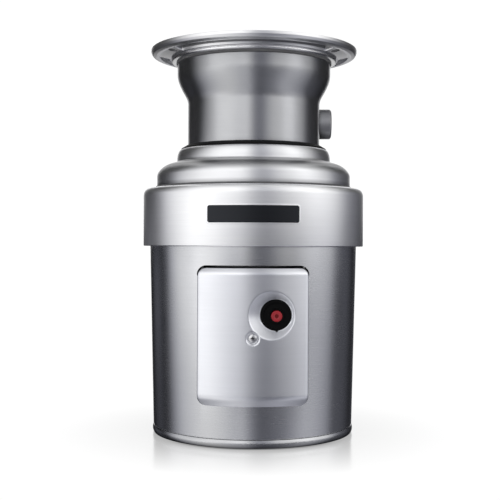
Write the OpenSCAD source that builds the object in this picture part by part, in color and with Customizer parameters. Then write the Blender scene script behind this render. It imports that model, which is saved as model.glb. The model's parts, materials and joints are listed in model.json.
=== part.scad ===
// Food waste disposer, 1 hp class, with a round motor housing and a bolted sink flange.
// Millimetres. +Z is up, the front with the terminal cover faces -Y.
// The origin is on the axis, at the bottom of the pan.

/* [Envelope] */
// Height of the top of the sink flange above the bottom of the pan
total_h = 395.3; // [395:0.1:398]
// Diameter of the centre band, the widest part of the housing
band_d = 228.6; // [228:0.2:232]
// Diameter of the sink flange
flange_d = 214; // [212:0.5:218]
// Diameter of the neck between the housing and the flange
neck_d = 137.3; // [136.8:0.1:137.6]
// Diameter of the upper cover
cover_d = 201; // [200.6:0.2:202]
// Diameter of the lower shell at its top
shell_top_d = 214.4; // [214:0.2:215]
// Diameter of the lower shell at its bottom
shell_bottom_d = 206.2; // [206:0.2:206.6]
// Diameter of the rolled rim of the bottom pan
pan_d = 207.6; // [207:0.2:209]

/* [Heights] */
// Height of the rolled rim of the bottom pan
pan_h = 8; // [7:0.5:8.5]
// Bottom of the centre band
band_z0 = 191.5; // [190:0.5:192]
// Top of the centre band
band_z1 = 250.8; // [250.4:0.1:251.2]
// Top of the upper cover, where the isolation gasket sits
cover_z1 = 291.2; // [291:0.1:291.6]
// Thickness of the isolation gasket
gasket_h = 4.4; // [4:0.1:4.6]
// Top of the neck
neck_z1 = 380.5; // [380:0.1:381]

/* [Terminal cover] */
// Width of the terminal cover across its chord
tc_w = 106; // [104:0.5:108]
// Bottom edge of the terminal cover
tc_z0 = 39; // [37:0.5:41]
// Top edge of the terminal cover
tc_z1 = 171.7; // [170:0.1:172]
// Radius of the curved face of the terminal cover, measured from the axis
tc_face_r = 110.3; // [110:0.1:111]
// Radius of the corners of the terminal cover
tc_corner_r = 8.5; // [6:0.5:12]
// Sideways place of the dish and the overload protector
dish_x = 21.7; // [18:0.1:24]
// Height of the centre of the dish
dish_z = 126.6; // [120:0.1:130]
// Radius of the floor of the dish
dish_floor_r = 15.8; // [15.5:0.1:16.5]
// Height of the screw that holds the terminal cover
cover_screw_z = 105; // [95:0.5:106]

/* [Reset button] */
// Radius of the red reset button
button_r = 5.4; // [4:0.1:6]
// How far the button goes in
button_travel = 3; // [2:0.5:3]

/* [Throat and grinding chamber] */
// Inside radius of the throat
throat_r = 64; // [62:0.5:64.5]
// Radius of the rotating shredder disc
disc_r = 85.4; // [84:0.1:85.4]
// Inside radius of the stationary shredder ring
ring_r = 86; // [86:0.1:87]
// Number of grinding notches in the shredder ring
ring_notches = 24; // [12:2:30]
// Height of the impellers above the shredder disc
impeller_h = 22; // [16:1:22]

/* [Motor] */
// Outside radius of the motor frame
frame_r = 68; // [68:0.1:68.2]
// Bore radius of the stator
stator_bore_r = 41; // [41:0.5:42]
// Number of stator slots
stator_slots = 24; // [18:2:30]
// Radial air gap between the rotor and the stator
air_gap = 0.6; // [0.4:0.1:0.8]
// Number of bars in the rotor cage
cage_bars = 20; // [12:2:24]

/* [Connections] */
// Diameter of the circle of sink bolts
sink_pcd = 188; // [186:0.5:188.5]
// Radius of each sink bolt hole
sink_hole_r = 4.5; // [3.5:0.1:4.5]
// Height of the water inlet
inlet_z = 319.5; // [316:0.5:324]
// Outside radius of the water inlet boss
inlet_boss_r = 15.5; // [14:0.5:16]
// Bore radius of the water inlet, tapped for half inch pipe
inlet_bore_r = 9.13; // [9:0.01:9.3]
// Height of the drain outlet
drain_z = 214.7; // [214.6:0.1:215.5]
// Outside radius of the drain tube, for an inch and a half slip joint
drain_tube_r = 19.05; // [19:0.05:19.2]
// Distance of the end of the drain tube behind the axis
drain_end_y = 150; // [135:1:160]
// Radius of the hole for the wiring conduit
conduit_r = 11.1; // [11:0.1:11.3]

/* [Hidden] */
$fn = 96;
e = 0.05;                 // overshoot of a cut past a face
sheet = 1.2;              // thickness of the pressed stainless covers
band_r = band_d / 2;
flange_r = flange_d / 2;
neck_r = neck_d / 2;
cover_r = cover_d / 2;
shell_wall = 1;
shell_z0 = pan_h + 1;
shell_z1 = 194;
shell_r1 = shell_top_d / 2;
shell_r0 = shell_bottom_d / 2;
pan_r = pan_d / 2;
pan_floor_z = 3;
pan_floor_t = 1.5;
gasket_z1 = cover_z1 + gasket_h;

// Sink flange
flange_z0 = 382.3;        // underside of the flange, on its own thin gasket
flange_bore_r = 76;
flange_plate_t = 3.5;
pad_angles = [-30, 90, 210];
// Middle and span of the three pockets between the bolt pads
pockets = [[270, 108], [30, 68], [150, 68]];
pocket_r0 = 88;
pocket_r1 = 98;

// Neck
neck_bore_top_r = 75.5;
neck_flare_z = 340.5;     // where the neck starts to flare out
neck_flare_h = 29;
neck_flare = 11.15;       // how much the radius grows
spigot_r = 67;            // the part of the neck inside the hopper
spigot_z0 = 282;

// Upper cover outline: a shoulder, a fillet and a crown
cover_z0 = 248;
shoulder_z = 263.7;
fillet_r = 3.2;
crown_r = 75.5;
crown_w = 4.3;
crown_z = 280.2;
fillet_cr = crown_r + crown_w + fillet_r;

// Hopper, gaskets and drain chamber
joint_z = 238;            // top of the drain chamber
joint_r = 105;            // clamped flanges of the hopper and the drain chamber
joint_gasket_t = 1;
joint_flange_t = 4.5;     // thickness of the hopper's clamped flange
joint_screw_r = 101;
joint_screws = 6;
hopper_bore_r = 92.2;
hopper_wall_r = 95.8;     // outside of the hopper above its clamped flange
ring_seat_z = 268.4;
chamber_bore_r = 88;
plate_z = 172;            // underside of the drain chamber, on top of the motor frame
outlet_face_y = 98;       // flat rear face that takes the drain flange
drain_gasket_t = 1.5;
drain_plate_t = 5;
drain_screw_x = 27;
drain_bore_r = 16.5;
seal_seat_z = 220.5;
tower_z = 232;            // top of the tower that holds the shaft seal

// Shaft and bearings
shaft_r = 11;
lower_journal_r = 8;
fit = 0.05;               // radial clearance of a running fit
shaft_z0 = 25.5;
lower_journal_z1 = 52;
shaft_step_z = 234;       // shoulder under the slinger
disc_z0 = 242;
disc_z1 = 246;
hub_seat_r = 9;
thread_r = 6;
bearing_z0 = 164;
bearing_z1 = 182;
bearing_seat_r = 24;
cone_r0 = 16;
cone_r1 = 18.5;

// Motor
frame_t = 2;
frame_z0 = 52;
core_z0 = 78;
core_z1 = 148;
core_r = frame_r - frame_t;
end_turn_h = 16;
bell_z0 = 40;
bolt_circle_r = 73;
bolt_angles = [45, 135, 225, 315];
leg_circle_r = 56;
leg_angles = [30, 150, 270];
lead_xs = [-38, -26, -14];
lead_z = 70;

// Terminal compartment
tray_w = 96;
tray_y0 = -90;
tray_y1 = -71;
tray_z0 = 46;
tray_z1 = 168;
tray_t = 1;
dish_floor_y = -100.3;
protector_y = -99;        // front face of the overload protector
protector_hole_r = 15;
button_x = dish_x + 0.8;
button_z = dish_z - 1.1;
button_y0 = protector_y - button_travel - 0.5;    // front face of the button
button_y1 = -93.5;
button_bore_y = -84;      // bottom of the button's bore
button_gap = 0.3;

// Impellers
pivot_r = 57;
pivot_pin_r = 4;
swivel_gap = 0.3;
swivel_rest_a = -25;
arm_len = 19.5;
arm_end_r = 7;
arm_base_r = 12;
arm_base_t = 4.7;
fixed_angles = [90, 270];
swivel_angles = [0, 180];

// ---- helpers ----

// Points of an arc from angle a0 to a1 in n steps
function arc(cx, cy, r, a0, a1, n = 8) =
    [for (i = [0:n]) let (a = a0 + (a1 - a0) * i / n) [cx + r * cos(a), cy + r * sin(a)]];

// Quarter of a rounded corner that bulges by the power p, from (cx + w, cy) to (cx, cy + h)
function corner(cx, cy, w, h, p, n = 10) =
    [for (i = [0:n]) let (s = i / n) [cx + w * pow(max(0, 1 - pow(s, p)), 1 / p), cy + h * s]];

function reversed(list) = [for (i = [len(list) - 1:-1:0]) list[i]];

module ring(r0, r1, z0, z1) {
    difference() {
        translate([0, 0, z0]) cylinder(r = r1, h = z1 - z0);
        translate([0, 0, z0 - 1]) cylinder(r = r0, h = z1 - z0 + 2);
    }
}

module rod(r, z0, z1) {
    translate([0, 0, z0]) cylinder(r = r, h = z1 - z0);
}

// Cylinder along +Y from y0 to y1
module rod_y(x, z, r, y0, y1) {
    translate([x, y1, z]) rotate([90, 0, 0]) cylinder(r = r, h = y1 - y0);
}

// Cone along +Y with radius r0 at y0 and r1 at y1
module cone_y(x, z, r0, r1, y0, y1) {
    translate([x, y1, z]) rotate([90, 0, 0]) cylinder(r1 = r1, r2 = r0, h = y1 - y0);
}

module at_angle(a, r = 0) {
    rotate([0, 0, a]) translate([r, 0, 0]) children();
}

module rounded_rect(w, h, r) {
    square([w - 2 * r, h], center = true);
    square([w, h - 2 * r], center = true);
    for (x = [-1, 1]) {
        for (y = [-1, 1]) {
            translate([x * (w / 2 - r), y * (h / 2 - r)]) circle(r = r, $fn = 32);
        }
    }
}

// Rounded rectangle in X and Z, cut through the front wall from y0 to y1
module front_prism(w, z0, z1, r, y0, y1) {
    translate([0, y1, (z0 + z1) / 2]) rotate([90, 0, 0]) linear_extrude(y1 - y0) rounded_rect(w, z1 - z0, r);
}

// Wedge of a ring, spanning the angle w around a
module ring_sector(r0, r1, z0, z1, a, w) {
    far = 2 * r1;
    intersection() {
        ring(r0, r1, z0, z1);
        translate([0, 0, z0 - 1]) linear_extrude(z1 - z0 + 2)
            polygon([
                [0, 0],
                [far * cos(a - w / 2), far * sin(a - w / 2)],
                [far * cos(a), far * sin(a)],
                [far * cos(a + w / 2), far * sin(a + w / 2)]
            ]);
    }
}

module hex_head(r, z0, z1) {
    translate([0, 0, z0]) cylinder(r = r, h = z1 - z0, $fn = 6);
}

// ---- sink flange and neck ----

module top_flange() {
    color("#d2d4d6") difference() {
        rotate_extrude() polygon(concat(
            [[flange_bore_r, flange_z0], [82.4, flange_z0]],
            arc(83.4, 384.6, 2.5, -60, 30, 5),
            [[86, 386], [pocket_r0, 386.1], [98.4, 388.4], [100, 389.2]],
            arc(flange_r - 3, 392.4, 3, -90, 0, 6),
            [[flange_r, total_h - 0.6], [flange_r - 0.6, total_h], [flange_bore_r + 4.5, total_h]],
            arc(flange_bore_r + 4.5, total_h - 4.5, 4.5, 100, 180, 6)
        ));
        for (pocket = pockets) {
            ring_sector(pocket_r0, pocket_r1, flange_z0, total_h - flange_plate_t, pocket[0], pocket[1]);
        }
        for (a = pad_angles) {
            at_angle(a, sink_pcd / 2) rod(sink_hole_r, flange_z0, total_h + 1);
        }
    }
}

module flange_gasket() {
    color("#1c1c1e") ring(flange_bore_r, 81, neck_z1, flange_z0);
}

function neck_bulge(u) = let (w = pow(u, 0.8)) w * w * (3 - 2 * w);

function neck_curve(r) = [
    for (i = [0:14]) [r + neck_flare * neck_bulge(i / 14), neck_flare_z + neck_flare_h * i / 14]
];

module neck() {
    bore_r = neck_bore_top_r - neck_flare;
    color("#c9ccd0") difference() {
        rotate_extrude() polygon(concat(
            [[throat_r, spigot_z0], [spigot_r, spigot_z0], [spigot_r, gasket_z1], [neck_r, gasket_z1]],
            neck_curve(neck_r),
            [[neck_r + neck_flare, neck_z1], [neck_bore_top_r, neck_z1]],
            reversed(neck_curve(bore_r)),
            [[throat_r, neck_flare_z - 4]]
        ));
        translate([0, 0, inlet_z]) rotate([0, 90, 0]) cylinder(r = inlet_boss_r, h = 100);
    }
}

module water_inlet_boss() {
    face_x = 80.7;
    chamfer = 1.8;
    color("#c4c7cb") difference() {
        translate([0, 0, inlet_z]) rotate([0, 90, 0]) rotate_extrude() polygon([
            [inlet_bore_r, 50], [inlet_boss_r, 50], [inlet_boss_r, face_x - chamfer],
            [inlet_boss_r - chamfer, face_x], [inlet_bore_r, face_x]
        ]);
        rod(throat_r, inlet_z - 30, inlet_z + 30);
    }
}

module isolation_gasket() {
    color("#161617") rotate_extrude() polygon([
        [spigot_r + 0.2, cover_z1], [crown_r + 0.1, cover_z1], [crown_r + 0.3, cover_z1 + 1.2],
        [crown_r - 2.7, cover_z1 + 3], [crown_r - 5.1, gasket_z1], [spigot_r + 0.2, gasket_z1]
    ]);
}

// ---- covers of the housing ----

function cover_curve(t) = concat(
    corner(fillet_cr, shoulder_z, cover_r - fillet_cr - t, crown_z - fillet_r - shoulder_z - t, 1.68),
    arc(fillet_cr, crown_z, fillet_r + t, 262, 188, 5),
    corner(crown_r, crown_z, crown_w - t, cover_z1 - crown_z - t, 2)
);

module upper_cover() {
    hole_r = spigot_r + 0.3;
    color("#c9ccd0") rotate_extrude() polygon(concat(
        [[cover_r, cover_z0]],
        cover_curve(0),
        [[hole_r, cover_z1], [hole_r, cover_z1 - sheet]],
        reversed(cover_curve(sheet)),
        [[cover_r - sheet, cover_z0]]
    ));
}

module cover_seal() {
    color("#161617") rotate_extrude() polygon([
        [cover_r + 0.05, band_z1], [cover_r + 1.9, band_z1], [cover_r + 1.9, band_z1 + 1.4],
        [cover_r + 1.2, band_z1 + 2.2], [cover_r + 0.05, band_z1 + 2.2]
    ]);
}

function band_curve(t) = corner(band_r - 7, band_z1 - 8.5, 7 - t, 8.5 - t, 2.3);

module centre_band() {
    lip_r = shell_r1 + 0.2;
    color("#cfd2d5") difference() {
        rotate_extrude() polygon(concat(
            [[lip_r, band_z0], [band_r - 0.8, band_z0], [band_r, band_z0 + 0.8]],
            band_curve(0),
            [[cover_r + 0.3, band_z1], [cover_r + 0.3, band_z1 - sheet]],
            reversed(band_curve(sheet)),
            [[band_r - sheet, band_z0 + sheet], [lip_r, band_z0 + sheet]]
        ));
        rod_y(0, drain_z, drain_tube_r + 1.5, 0, band_r + 1);
    }
}

module badge_plate() {
    plate_w = 92;
    plate_z0 = 212.5;
    plate_z1 = 231.5;
    color("#3a3d41") intersection() {
        ring(band_r + 0.02, band_r + 0.7, plate_z0 - 1, plate_z1 + 1);
        front_prism(plate_w, plate_z0, plate_z1, 3.5, -band_r - 2, 0);
    }
}

module lower_shell() {
    cut_top_w = tc_w + 1.6;
    cut_top_z = tc_z1 + 2.2;
    color("#c2c5c9") difference() {
        rotate_extrude() polygon([
            [shell_r0, shell_z0], [shell_r1, band_z0], [shell_r1, shell_z1],
            [shell_r1 - shell_wall, shell_z1], [shell_r1 - shell_wall, band_z0],
            [shell_r0 - shell_wall, shell_z0]
        ]);
        front_prism(tray_w + 2, tray_z0 - 1, cut_top_z - 10, 4, -120, -60);
        front_prism(cut_top_w, cut_top_z - 26, cut_top_z, 10, -120, -60);
    }
}

module bottom_pan() {
    spigot = shell_r0 - shell_wall - 0.2;
    color("#8e9196") difference() {
        rotate_extrude() polygon([
            [0, pan_floor_z], [97.5, pan_floor_z], [99.5, 0], [pan_r - 0.5, 0], [pan_r, 0.8],
            [pan_r, pan_h - 1], [pan_r - 0.5, pan_h - 0.2], [pan_r - 1.2, pan_h], [spigot, pan_h],
            [spigot, 20], [spigot - sheet, 20], [spigot - sheet, pan_h + 1], [97.5, pan_floor_z + pan_floor_t],
            [0, pan_floor_z + pan_floor_t]
        ]);
        for (a = leg_angles) {
            at_angle(a, leg_circle_r) rod(2.3, 0, 10);
        }
        translate([0, -82, 0]) rod(conduit_r, 0, 10);
        for (a = [0:30:330]) {
            at_angle(a + 15, 34) rod(3, 0, 10);
        }
    }
}

module pan_screws() {
    color("#a9acb0") for (a = leg_angles) {
        at_angle(a, leg_circle_r) {
            rod(2.1, pan_floor_z, 16);
            rod(4.4, 0.9, pan_floor_z);
        }
    }
}

// ---- terminal compartment ----

// Pressed panel of the terminal cover, shrunk inwards by t
module panel_form(t) {
    side = tc_w / 2 - t;
    r = tc_face_r - t;
    intersection() {
        rotate_extrude() polygon([
            [60, tc_z0 + t], [103.4 - t, tc_z0 + t], [r - 1, tc_z0 + 8.2], [r, tc_z0 + 9.6],
            [r, tc_z1 - 5.2], [r - 0.9, tc_z1 - 4], [106.6 - t, tc_z1 - t], [60, tc_z1 - t]
        ]);
        front_prism(2 * side, tc_z0 + t, tc_z1 - t, tc_corner_r - t, -130, -60);
        translate([0, 0, tc_z0]) linear_extrude(tc_z1 - tc_z0) polygon([
            [-side, -60], [-side, -93], [3 - side, -98.8 + t], [3 - side, -130],
            [side - 3, -130], [side - 3, -98.8 + t], [side, -93], [side, -60]
        ]);
    }
}

module terminal_cover() {
    inner_rim_r = shell_r1 - 0.1;
    color("#cdd0d3") difference() {
        panel_form(0);
        difference() {
            panel_form(sheet);
            cone_y(dish_x, dish_z, dish_floor_r + 1.7 + 12, dish_floor_r + 1.7, -112.3, dish_floor_y + sheet);
            cone_y(0, cover_screw_z, 9.5, 6, -112, -106.2);
        }
        // the cover stands on the shell
        difference() {
            translate([0, 0, tc_z0 - 1]) cylinder(r1 = 103.75, r2 = 107, h = tc_z1 - tc_z0 + 2);
            rod_y(dish_x, dish_z, dish_floor_r + 5.7, -112, dish_floor_y + sheet);
        }
        cone_y(dish_x, dish_z, dish_floor_r + 12, dish_floor_r, -112.3, dish_floor_y);
        rod_y(dish_x, dish_z, protector_hole_r, -112, -90);
        translate([dish_x - 0.6, -104, dish_z - 20.2]) cube([3.4, 8, 8]);
        cone_y(0, cover_screw_z, 8, 5, -112, -108);
        rod_y(0, cover_screw_z, 2.4, -112, -100);
    }
}

module cover_screw() {
    color("#d8dadc") difference() {
        union() {
            cone_y(0, cover_screw_z, 4, 4.8, -110, -108.6);
            rod_y(0, cover_screw_z, 4.8, -108.6, -108);
            rod_y(0, cover_screw_z, 2.1, -108, -86);
        }
        for (a = [0, 90]) {
            translate([0, -110, cover_screw_z]) rotate([0, a, 0]) cube([1.3, 3, 5], center = true);
        }
    }
}

module terminal_box() {
    color("#2b2d30") difference() {
        translate([-tray_w / 2, tray_y0, tray_z0]) cube([tray_w, tray_y1 - tray_y0, tray_z1 - tray_z0]);
        difference() {
            translate([-tray_w / 2 + tray_t, tray_y0 - 1, tray_z0 + tray_t])
                cube([tray_w - 2 * tray_t, tray_y1 - tray_y0 + 1 - tray_t, tray_z1 - tray_z0 - 2 * tray_t]);
            rod_y(0, cover_screw_z, 4.5, -90, tray_y1);
            rod_y(dish_x, dish_z, 17, -80, tray_y1);
        }
        rod_y(0, cover_screw_z, 2.15, -95, -80);
        rod_y(dish_x, dish_z, 15.1, -81, tray_y1 - tray_t);
        rod_y(30, 60, 2.2, -80, -60);
        translate([-20, -82, tray_z0 - 1]) rod(conduit_r - 2, 0, 3);
        for (x = lead_xs) {
            rod_y(x, lead_z, 1.7, -80, -60);
        }
    }
}

module overload_protector() {
    color("#141415") difference() {
        union() {
            rod_y(dish_x, dish_z, 17, protector_y, -95);
            rod_y(dish_x, dish_z, 15, -95, tray_y1 - tray_t - 0.5);
        }
        rod_y(button_x, button_z, button_r + button_gap, -100, button_bore_y);
        rod_y(button_x, button_z, 2.4, -90, -76);
    }
}

module reset_button() {
    color("#b3151d") difference() {
        union() {
            rod_y(button_x, button_z, button_r, button_y0 + 0.7, button_y1);
            cone_y(button_x, button_z, button_r - 0.7, button_r, button_y0, button_y0 + 0.7);
            rod_y(button_x, button_z, 2, button_y1 - 1, -82);
        }
        rod_y(button_x, button_z, 2.6, button_y0 - 1, button_y0 + 0.9);
    }
}

module reset_spring() {
    turns = 4;
    steps = 18;
    sides = 8;
    coil_r = 3.7;
    wire_r = 0.45;
    y0 = button_y1 + wire_r + 0.05;
    y1 = button_bore_y - wire_r - 0.05;
    rings = turns * steps;
    points = [
        for (i = [0:rings]) for (j = [0:sides - 1])
            let (a = 360 * i / steps, b = 360 * j / sides, r = coil_r + wire_r * cos(b))
                [button_x + r * cos(a), y0 + (y1 - y0) * i / rings + wire_r * sin(b), button_z + r * sin(a)]
    ];
    faces = concat(
        [[for (j = [0:sides - 1]) j]],
        [[for (j = [sides - 1:-1:0]) rings * sides + j]],
        [for (i = [0:rings - 1]) for (j = [0:sides - 1])
            let (k = (j + 1) % sides) [i * sides + j, (i + 1) * sides + j, (i + 1) * sides + k, i * sides + k]]
    );
    color("#9ea1a5") polyhedron(points, faces);
}

module terminal_block() {
    color("#e4e1d6") difference() {
        translate([-44, -83, lead_z - 9]) cube([36, 11 - e, 18]);
        for (x = lead_xs) {
            rod_y(x, lead_z, 2.1, -84, -76);
            translate([x - 4, -84, lead_z - 5]) cube([8, 4, 10]);
        }
    }
}

module terminal_screws() {
    color("#b79148") for (x = lead_xs) {
        rod_y(x, lead_z, 3.4, -82, -80);
        rod_y(x, lead_z, 2, -80, -77);
    }
}

module ground_screw() {
    color("#2f8f4e") {
        translate([30, -72 - e, 60]) rotate([90, 30, 0]) cylinder(r = 4.6, h = 3.4, $fn = 6);
        rod_y(30, 60, 2.1, -72 - e, -69.5);
    }
}

module motor_leads() {
    lead_r = 1.5;
    end_turn_r = 62.1;    // the leads stop on the outside of the end turns
    color("#e8e4da") for (x = lead_xs) {
        side = abs(x) - lead_r;
        rod_y(x, lead_z, lead_r, tray_y1 - tray_t - e, -sqrt(end_turn_r * end_turn_r - side * side));
    }
}

module start_capacitor() {
    cap_x = -85.3;
    color("#26282b") {
        translate([cap_x, 0, 0]) {
            rod(16.5, 42, 118);
            rod(14.5, 118, 121);
        }
    }
    color("#b79148") for (y = [-6, 6]) {
        translate([cap_x - 3, y - 0.4, 121]) cube([6, 0.8, 9]);
    }
}

module capacitor_clamp() {
    color("#9a9da1") {
        translate([-85.3, 0, 0]) ring(16.55, 17.2, 74, 88);
        translate([-68.7, -6, 74]) cube([0.65, 12, 14]);
    }
}

module start_relay() {
    color("#1b1c1e") translate([68.1, -16, 62]) cube([25.9, 32, 40]);
    color("#b79148") for (y = [-10, 0, 10]) {
        translate([78, y - 3, 102]) cube([0.8, 6, 8]);
    }
}

// ---- grinding chamber and drain ----

module hopper() {
    flange_z = joint_z + joint_gasket_t;
    color("#a7abb0") difference() {
        rotate_extrude() polygon([
            [hopper_bore_r, flange_z], [joint_r, flange_z], [joint_r, flange_z + joint_flange_t],
            [hopper_wall_r, flange_z + joint_flange_t], [hopper_wall_r, 264], [94, 267.5], [88, 271.5], [72, 281.5],
            [70.6, 283.5], [70.6, cover_z1 - sheet], [spigot_r + 0.1, cover_z1 - sheet],
            [spigot_r + 0.1, spigot_z0], [throat_r + 0.2, spigot_z0], [throat_r + 0.2, 279.8],
            [ring_r + 0.2, ring_seat_z + 0.8], [ring_r + 0.2, ring_seat_z], [hopper_bore_r, ring_seat_z]
        ]);
        for (i = [0:joint_screws - 1]) {
            at_angle(i * 360 / joint_screws, joint_screw_r) rod(2.6, joint_z, flange_z + 10);
        }
    }
}

module shredder_ring() {
    color("#b9bcc0") difference() {
        ring(ring_r, hopper_bore_r - 0.2, joint_z + e, ring_seat_z - 0.2);
        for (i = [0:ring_notches - 1]) {
            at_angle((i + 0.5) * 360 / ring_notches)
                translate([ring_r - 2, -2, joint_z - 1]) cube([4.4, 4, i % 2 == 0 ? 21 : 14]);
        }
    }
}

module chamber_gasket() {
    color("#19191a") ring(hopper_bore_r + 0.4, 97, joint_z, joint_z + joint_gasket_t);
}

module drain_chamber() {
    color("#9b9fa4") difference() {
        union() {
            rotate_extrude() polygon([
                [14, 158], [30, 158], [30, plate_z], [86, plate_z], [86, 178], [98, 192], [98, 231],
                [joint_r, 232], [joint_r, joint_z], [chamber_bore_r, joint_z], [chamber_bore_r, 198],
                [82, 186], [40, 180], [34, 185], [28, tower_z], [14, tower_z]
            ]);
            // boss with a flat land for the drain flange
            difference() {
                union() {
                    rod_y(0, drain_z, 22, 70, outlet_face_y);
                    for (x = [-1, 1]) {
                        rod_y(x * drain_screw_x, drain_z, 8, 70, outlet_face_y);
                    }
                }
                rod(chamber_bore_r, plate_z, joint_z + 1);
            }
        }
        translate([-40, outlet_face_y, 180]) cube([80, 20, 70]);
        rod_y(0, drain_z, drain_bore_r, 50, 120);
        for (x = [-1, 1]) {
            rod_y(x * drain_screw_x, drain_z, 2.6, 88, 120);
        }
        // seats of the upper bearing and of the shaft seal
        rod(bearing_seat_r, 157, bearing_z1);
        rod(20, seal_seat_z, tower_z + 1);
        for (a = bolt_angles) {
            at_angle(a, bolt_circle_r) rod(3.1, plate_z - 1, 180.5);
        }
        for (i = [0:joint_screws - 1]) {
            at_angle(i * 360 / joint_screws, joint_screw_r) rod(2.6, 225, joint_z + 1);
        }
    }
}

module joint_screws_set() {
    head_z = joint_z + joint_gasket_t + joint_flange_t;
    color("#c9ccd0") for (i = [0:joint_screws - 1]) {
        at_angle(i * 360 / joint_screws, joint_screw_r) {
            rod(2.5, 227, head_z);
            hex_head(4.6, head_z, head_z + 3.4);
        }
    }
}

// Two-eared outline of the drain flange, drawn in X and Z
module drain_outline(extra = 0) {
    ear_x = drain_screw_x + 3;
    circle(r = 22 + extra);
    polygon([[0, -21.5], [ear_x, -7.4], [ear_x, 7.4], [0, 21.5], [-ear_x, 7.4], [-ear_x, -7.4]]);
    for (x = [-1, 1]) {
        translate([x * drain_screw_x, 0]) circle(r = 8 + extra);
    }
}

module drain_plate(y0, y1) {
    translate([0, y1, drain_z]) rotate([90, 0, 0]) linear_extrude(y1 - y0) drain_outline();
}

module drain_gasket() {
    color("#19191a") difference() {
        drain_plate(outlet_face_y, outlet_face_y + drain_gasket_t);
        rod_y(0, drain_z, drain_bore_r, 90, 110);
        for (x = [-1, 1]) {
            rod_y(x * drain_screw_x, drain_z, 2.6, 90, 110);
        }
    }
}

module drain_flange() {
    y0 = outlet_face_y + drain_gasket_t;
    color("#8b8f94") difference() {
        union() {
            drain_plate(y0, y0 + drain_plate_t);
            rod_y(0, drain_z, drain_tube_r, y0, drain_end_y - 1);
            cone_y(0, drain_z, drain_tube_r, drain_tube_r - 1, drain_end_y - 1, drain_end_y);
        }
        rod_y(0, drain_z, drain_bore_r, 90, drain_end_y + 1);
        for (x = [-1, 1]) {
            rod_y(x * drain_screw_x, drain_z, 2.6, 90, 110);
        }
    }
}

module drain_screws() {
    y0 = outlet_face_y + drain_gasket_t + drain_plate_t;
    color("#c9ccd0") for (x = [-1, 1]) {
        rod_y(x * drain_screw_x, drain_z, 2.5, 89, y0);
        translate([x * drain_screw_x, y0 + 3, drain_z]) rotate([90, 0, 0]) cylinder(r = 4.6, h = 3, $fn = 6);
    }
}

module shaft_seal() {
    color("#1b1b1c") ring(shaft_r + fit, 20 - e, seal_seat_z, tower_z - 0.5);
}

module upper_bearing_cup() {
    color("#b4b7bb") rotate_extrude() polygon([
        [cone_r0 + 0.08, bearing_z0], [bearing_seat_r, bearing_z0], [bearing_seat_r, bearing_z1],
        [cone_r1 + 0.08, bearing_z1]
    ]);
}

// ---- motor ----

module motor_frame() {
    color("#4a4d52") difference() {
        ring(frame_r - frame_t, frame_r, frame_z0, plate_z);
        translate([-42, -80, lead_z - 4]) cube([32, 35, 8]);
        for (a = [0:45:315]) {
            at_angle(a + 22.5, frame_r) translate([0, 0, 160]) rotate([0, 90, 0])
                cylinder(r = 5, h = 10, center = true);
        }
    }
}

module stator_core() {
    slot_h = 15;
    color("#5d6166") difference() {
        ring(stator_bore_r, core_r - e, core_z0, core_z1);
        for (i = [0:stator_slots - 1]) {
            at_angle(i * 360 / stator_slots)
                translate([stator_bore_r + 3, -2.6, core_z0 - 1]) cube([slot_h, 5.2, core_z1 - core_z0 + 2]);
            at_angle(i * 360 / stator_slots)
                translate([stator_bore_r - 2, -1, core_z0 - 1]) cube([6, 2, core_z1 - core_z0 + 2]);
        }
    }
}

module stator_windings() {
    color("#b5622c") {
        for (z = [core_z0 - end_turn_h, core_z1]) {
            rotate_extrude() polygon(concat(
                [[46, z], [60, z]],
                arc(60, z + 2, 2, -90, 0, 3),
                arc(60, z + end_turn_h - 2, 2, 0, 90, 3),
                arc(48, z + end_turn_h - 2, 2, 90, 180, 3)
            ));
        }
        for (i = [0:stator_slots - 1]) {
            at_angle(i * 360 / stator_slots)
                translate([stator_bore_r + 6, -2.3, core_z0 - 1]) cube([11.5, 4.6, core_z1 - core_z0 + 2]);
        }
    }
}

module lower_end_bell() {
    color("#8f9398") difference() {
        union() {
            ring(14, 24, 27, frame_z0);
            ring(20, frame_r, frame_z0 - 5, frame_z0);
            ring(frame_r - 6, frame_r, bell_z0, frame_z0);
            ring(14, frame_r - 8, bell_z0 + 3, bell_z0 + 8);
            for (a = bolt_angles) {
                at_angle(a, bolt_circle_r) rod(7.5, bell_z0, frame_z0 + 4);
            }
            for (a = leg_angles) {
                at_angle(a, leg_circle_r) rod(7, pan_floor_z + pan_floor_t, frame_z0 - 2);
            }
        }
        rod(14, 20, frame_z0 + 1);
        rod(frame_r + 0.2, frame_z0, frame_z0 + 6);
        for (a = bolt_angles) {
            at_angle(a, bolt_circle_r) rod(3.1, 30, 60);
        }
        for (a = leg_angles) {
            at_angle(a, leg_circle_r) rod(2.2, 0, 17);
        }
        for (a = [0:60:300]) {
            at_angle(a, 40) rod(6, bell_z0 - 1, frame_z0 + 1);
        }
    }
}

module lower_bearing() {
    color("#b08d4a") ring(lower_journal_r + fit, 14, 27, 50);
}

module through_bolts() {
    color("#b9bcc0") for (a = bolt_angles) {
        at_angle(a, bolt_circle_r) {
            rod(3, bell_z0, 180);
            hex_head(5.6, bell_z0 - 5, bell_z0);
        }
    }
}

module motor_shaft() {
    color("#bfc2c6") {
        rod(lower_journal_r, shaft_z0, lower_journal_z1);
        rod(shaft_r, lower_journal_z1, shaft_step_z);
        rod(hub_seat_r, shaft_step_z, disc_z1);
        rod(thread_r, disc_z1, disc_z1 + 9);
    }
}

module rotor_core() {
    r = stator_bore_r - air_gap;
    color("#6a6e73") difference() {
        ring(shaft_r, r, core_z0, core_z1);
        for (i = [0:cage_bars - 1]) {
            at_angle(i * 360 / cage_bars, r - 5.5) rod(2.4, core_z0 - 1, core_z1 + 1);
        }
    }
}

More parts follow.
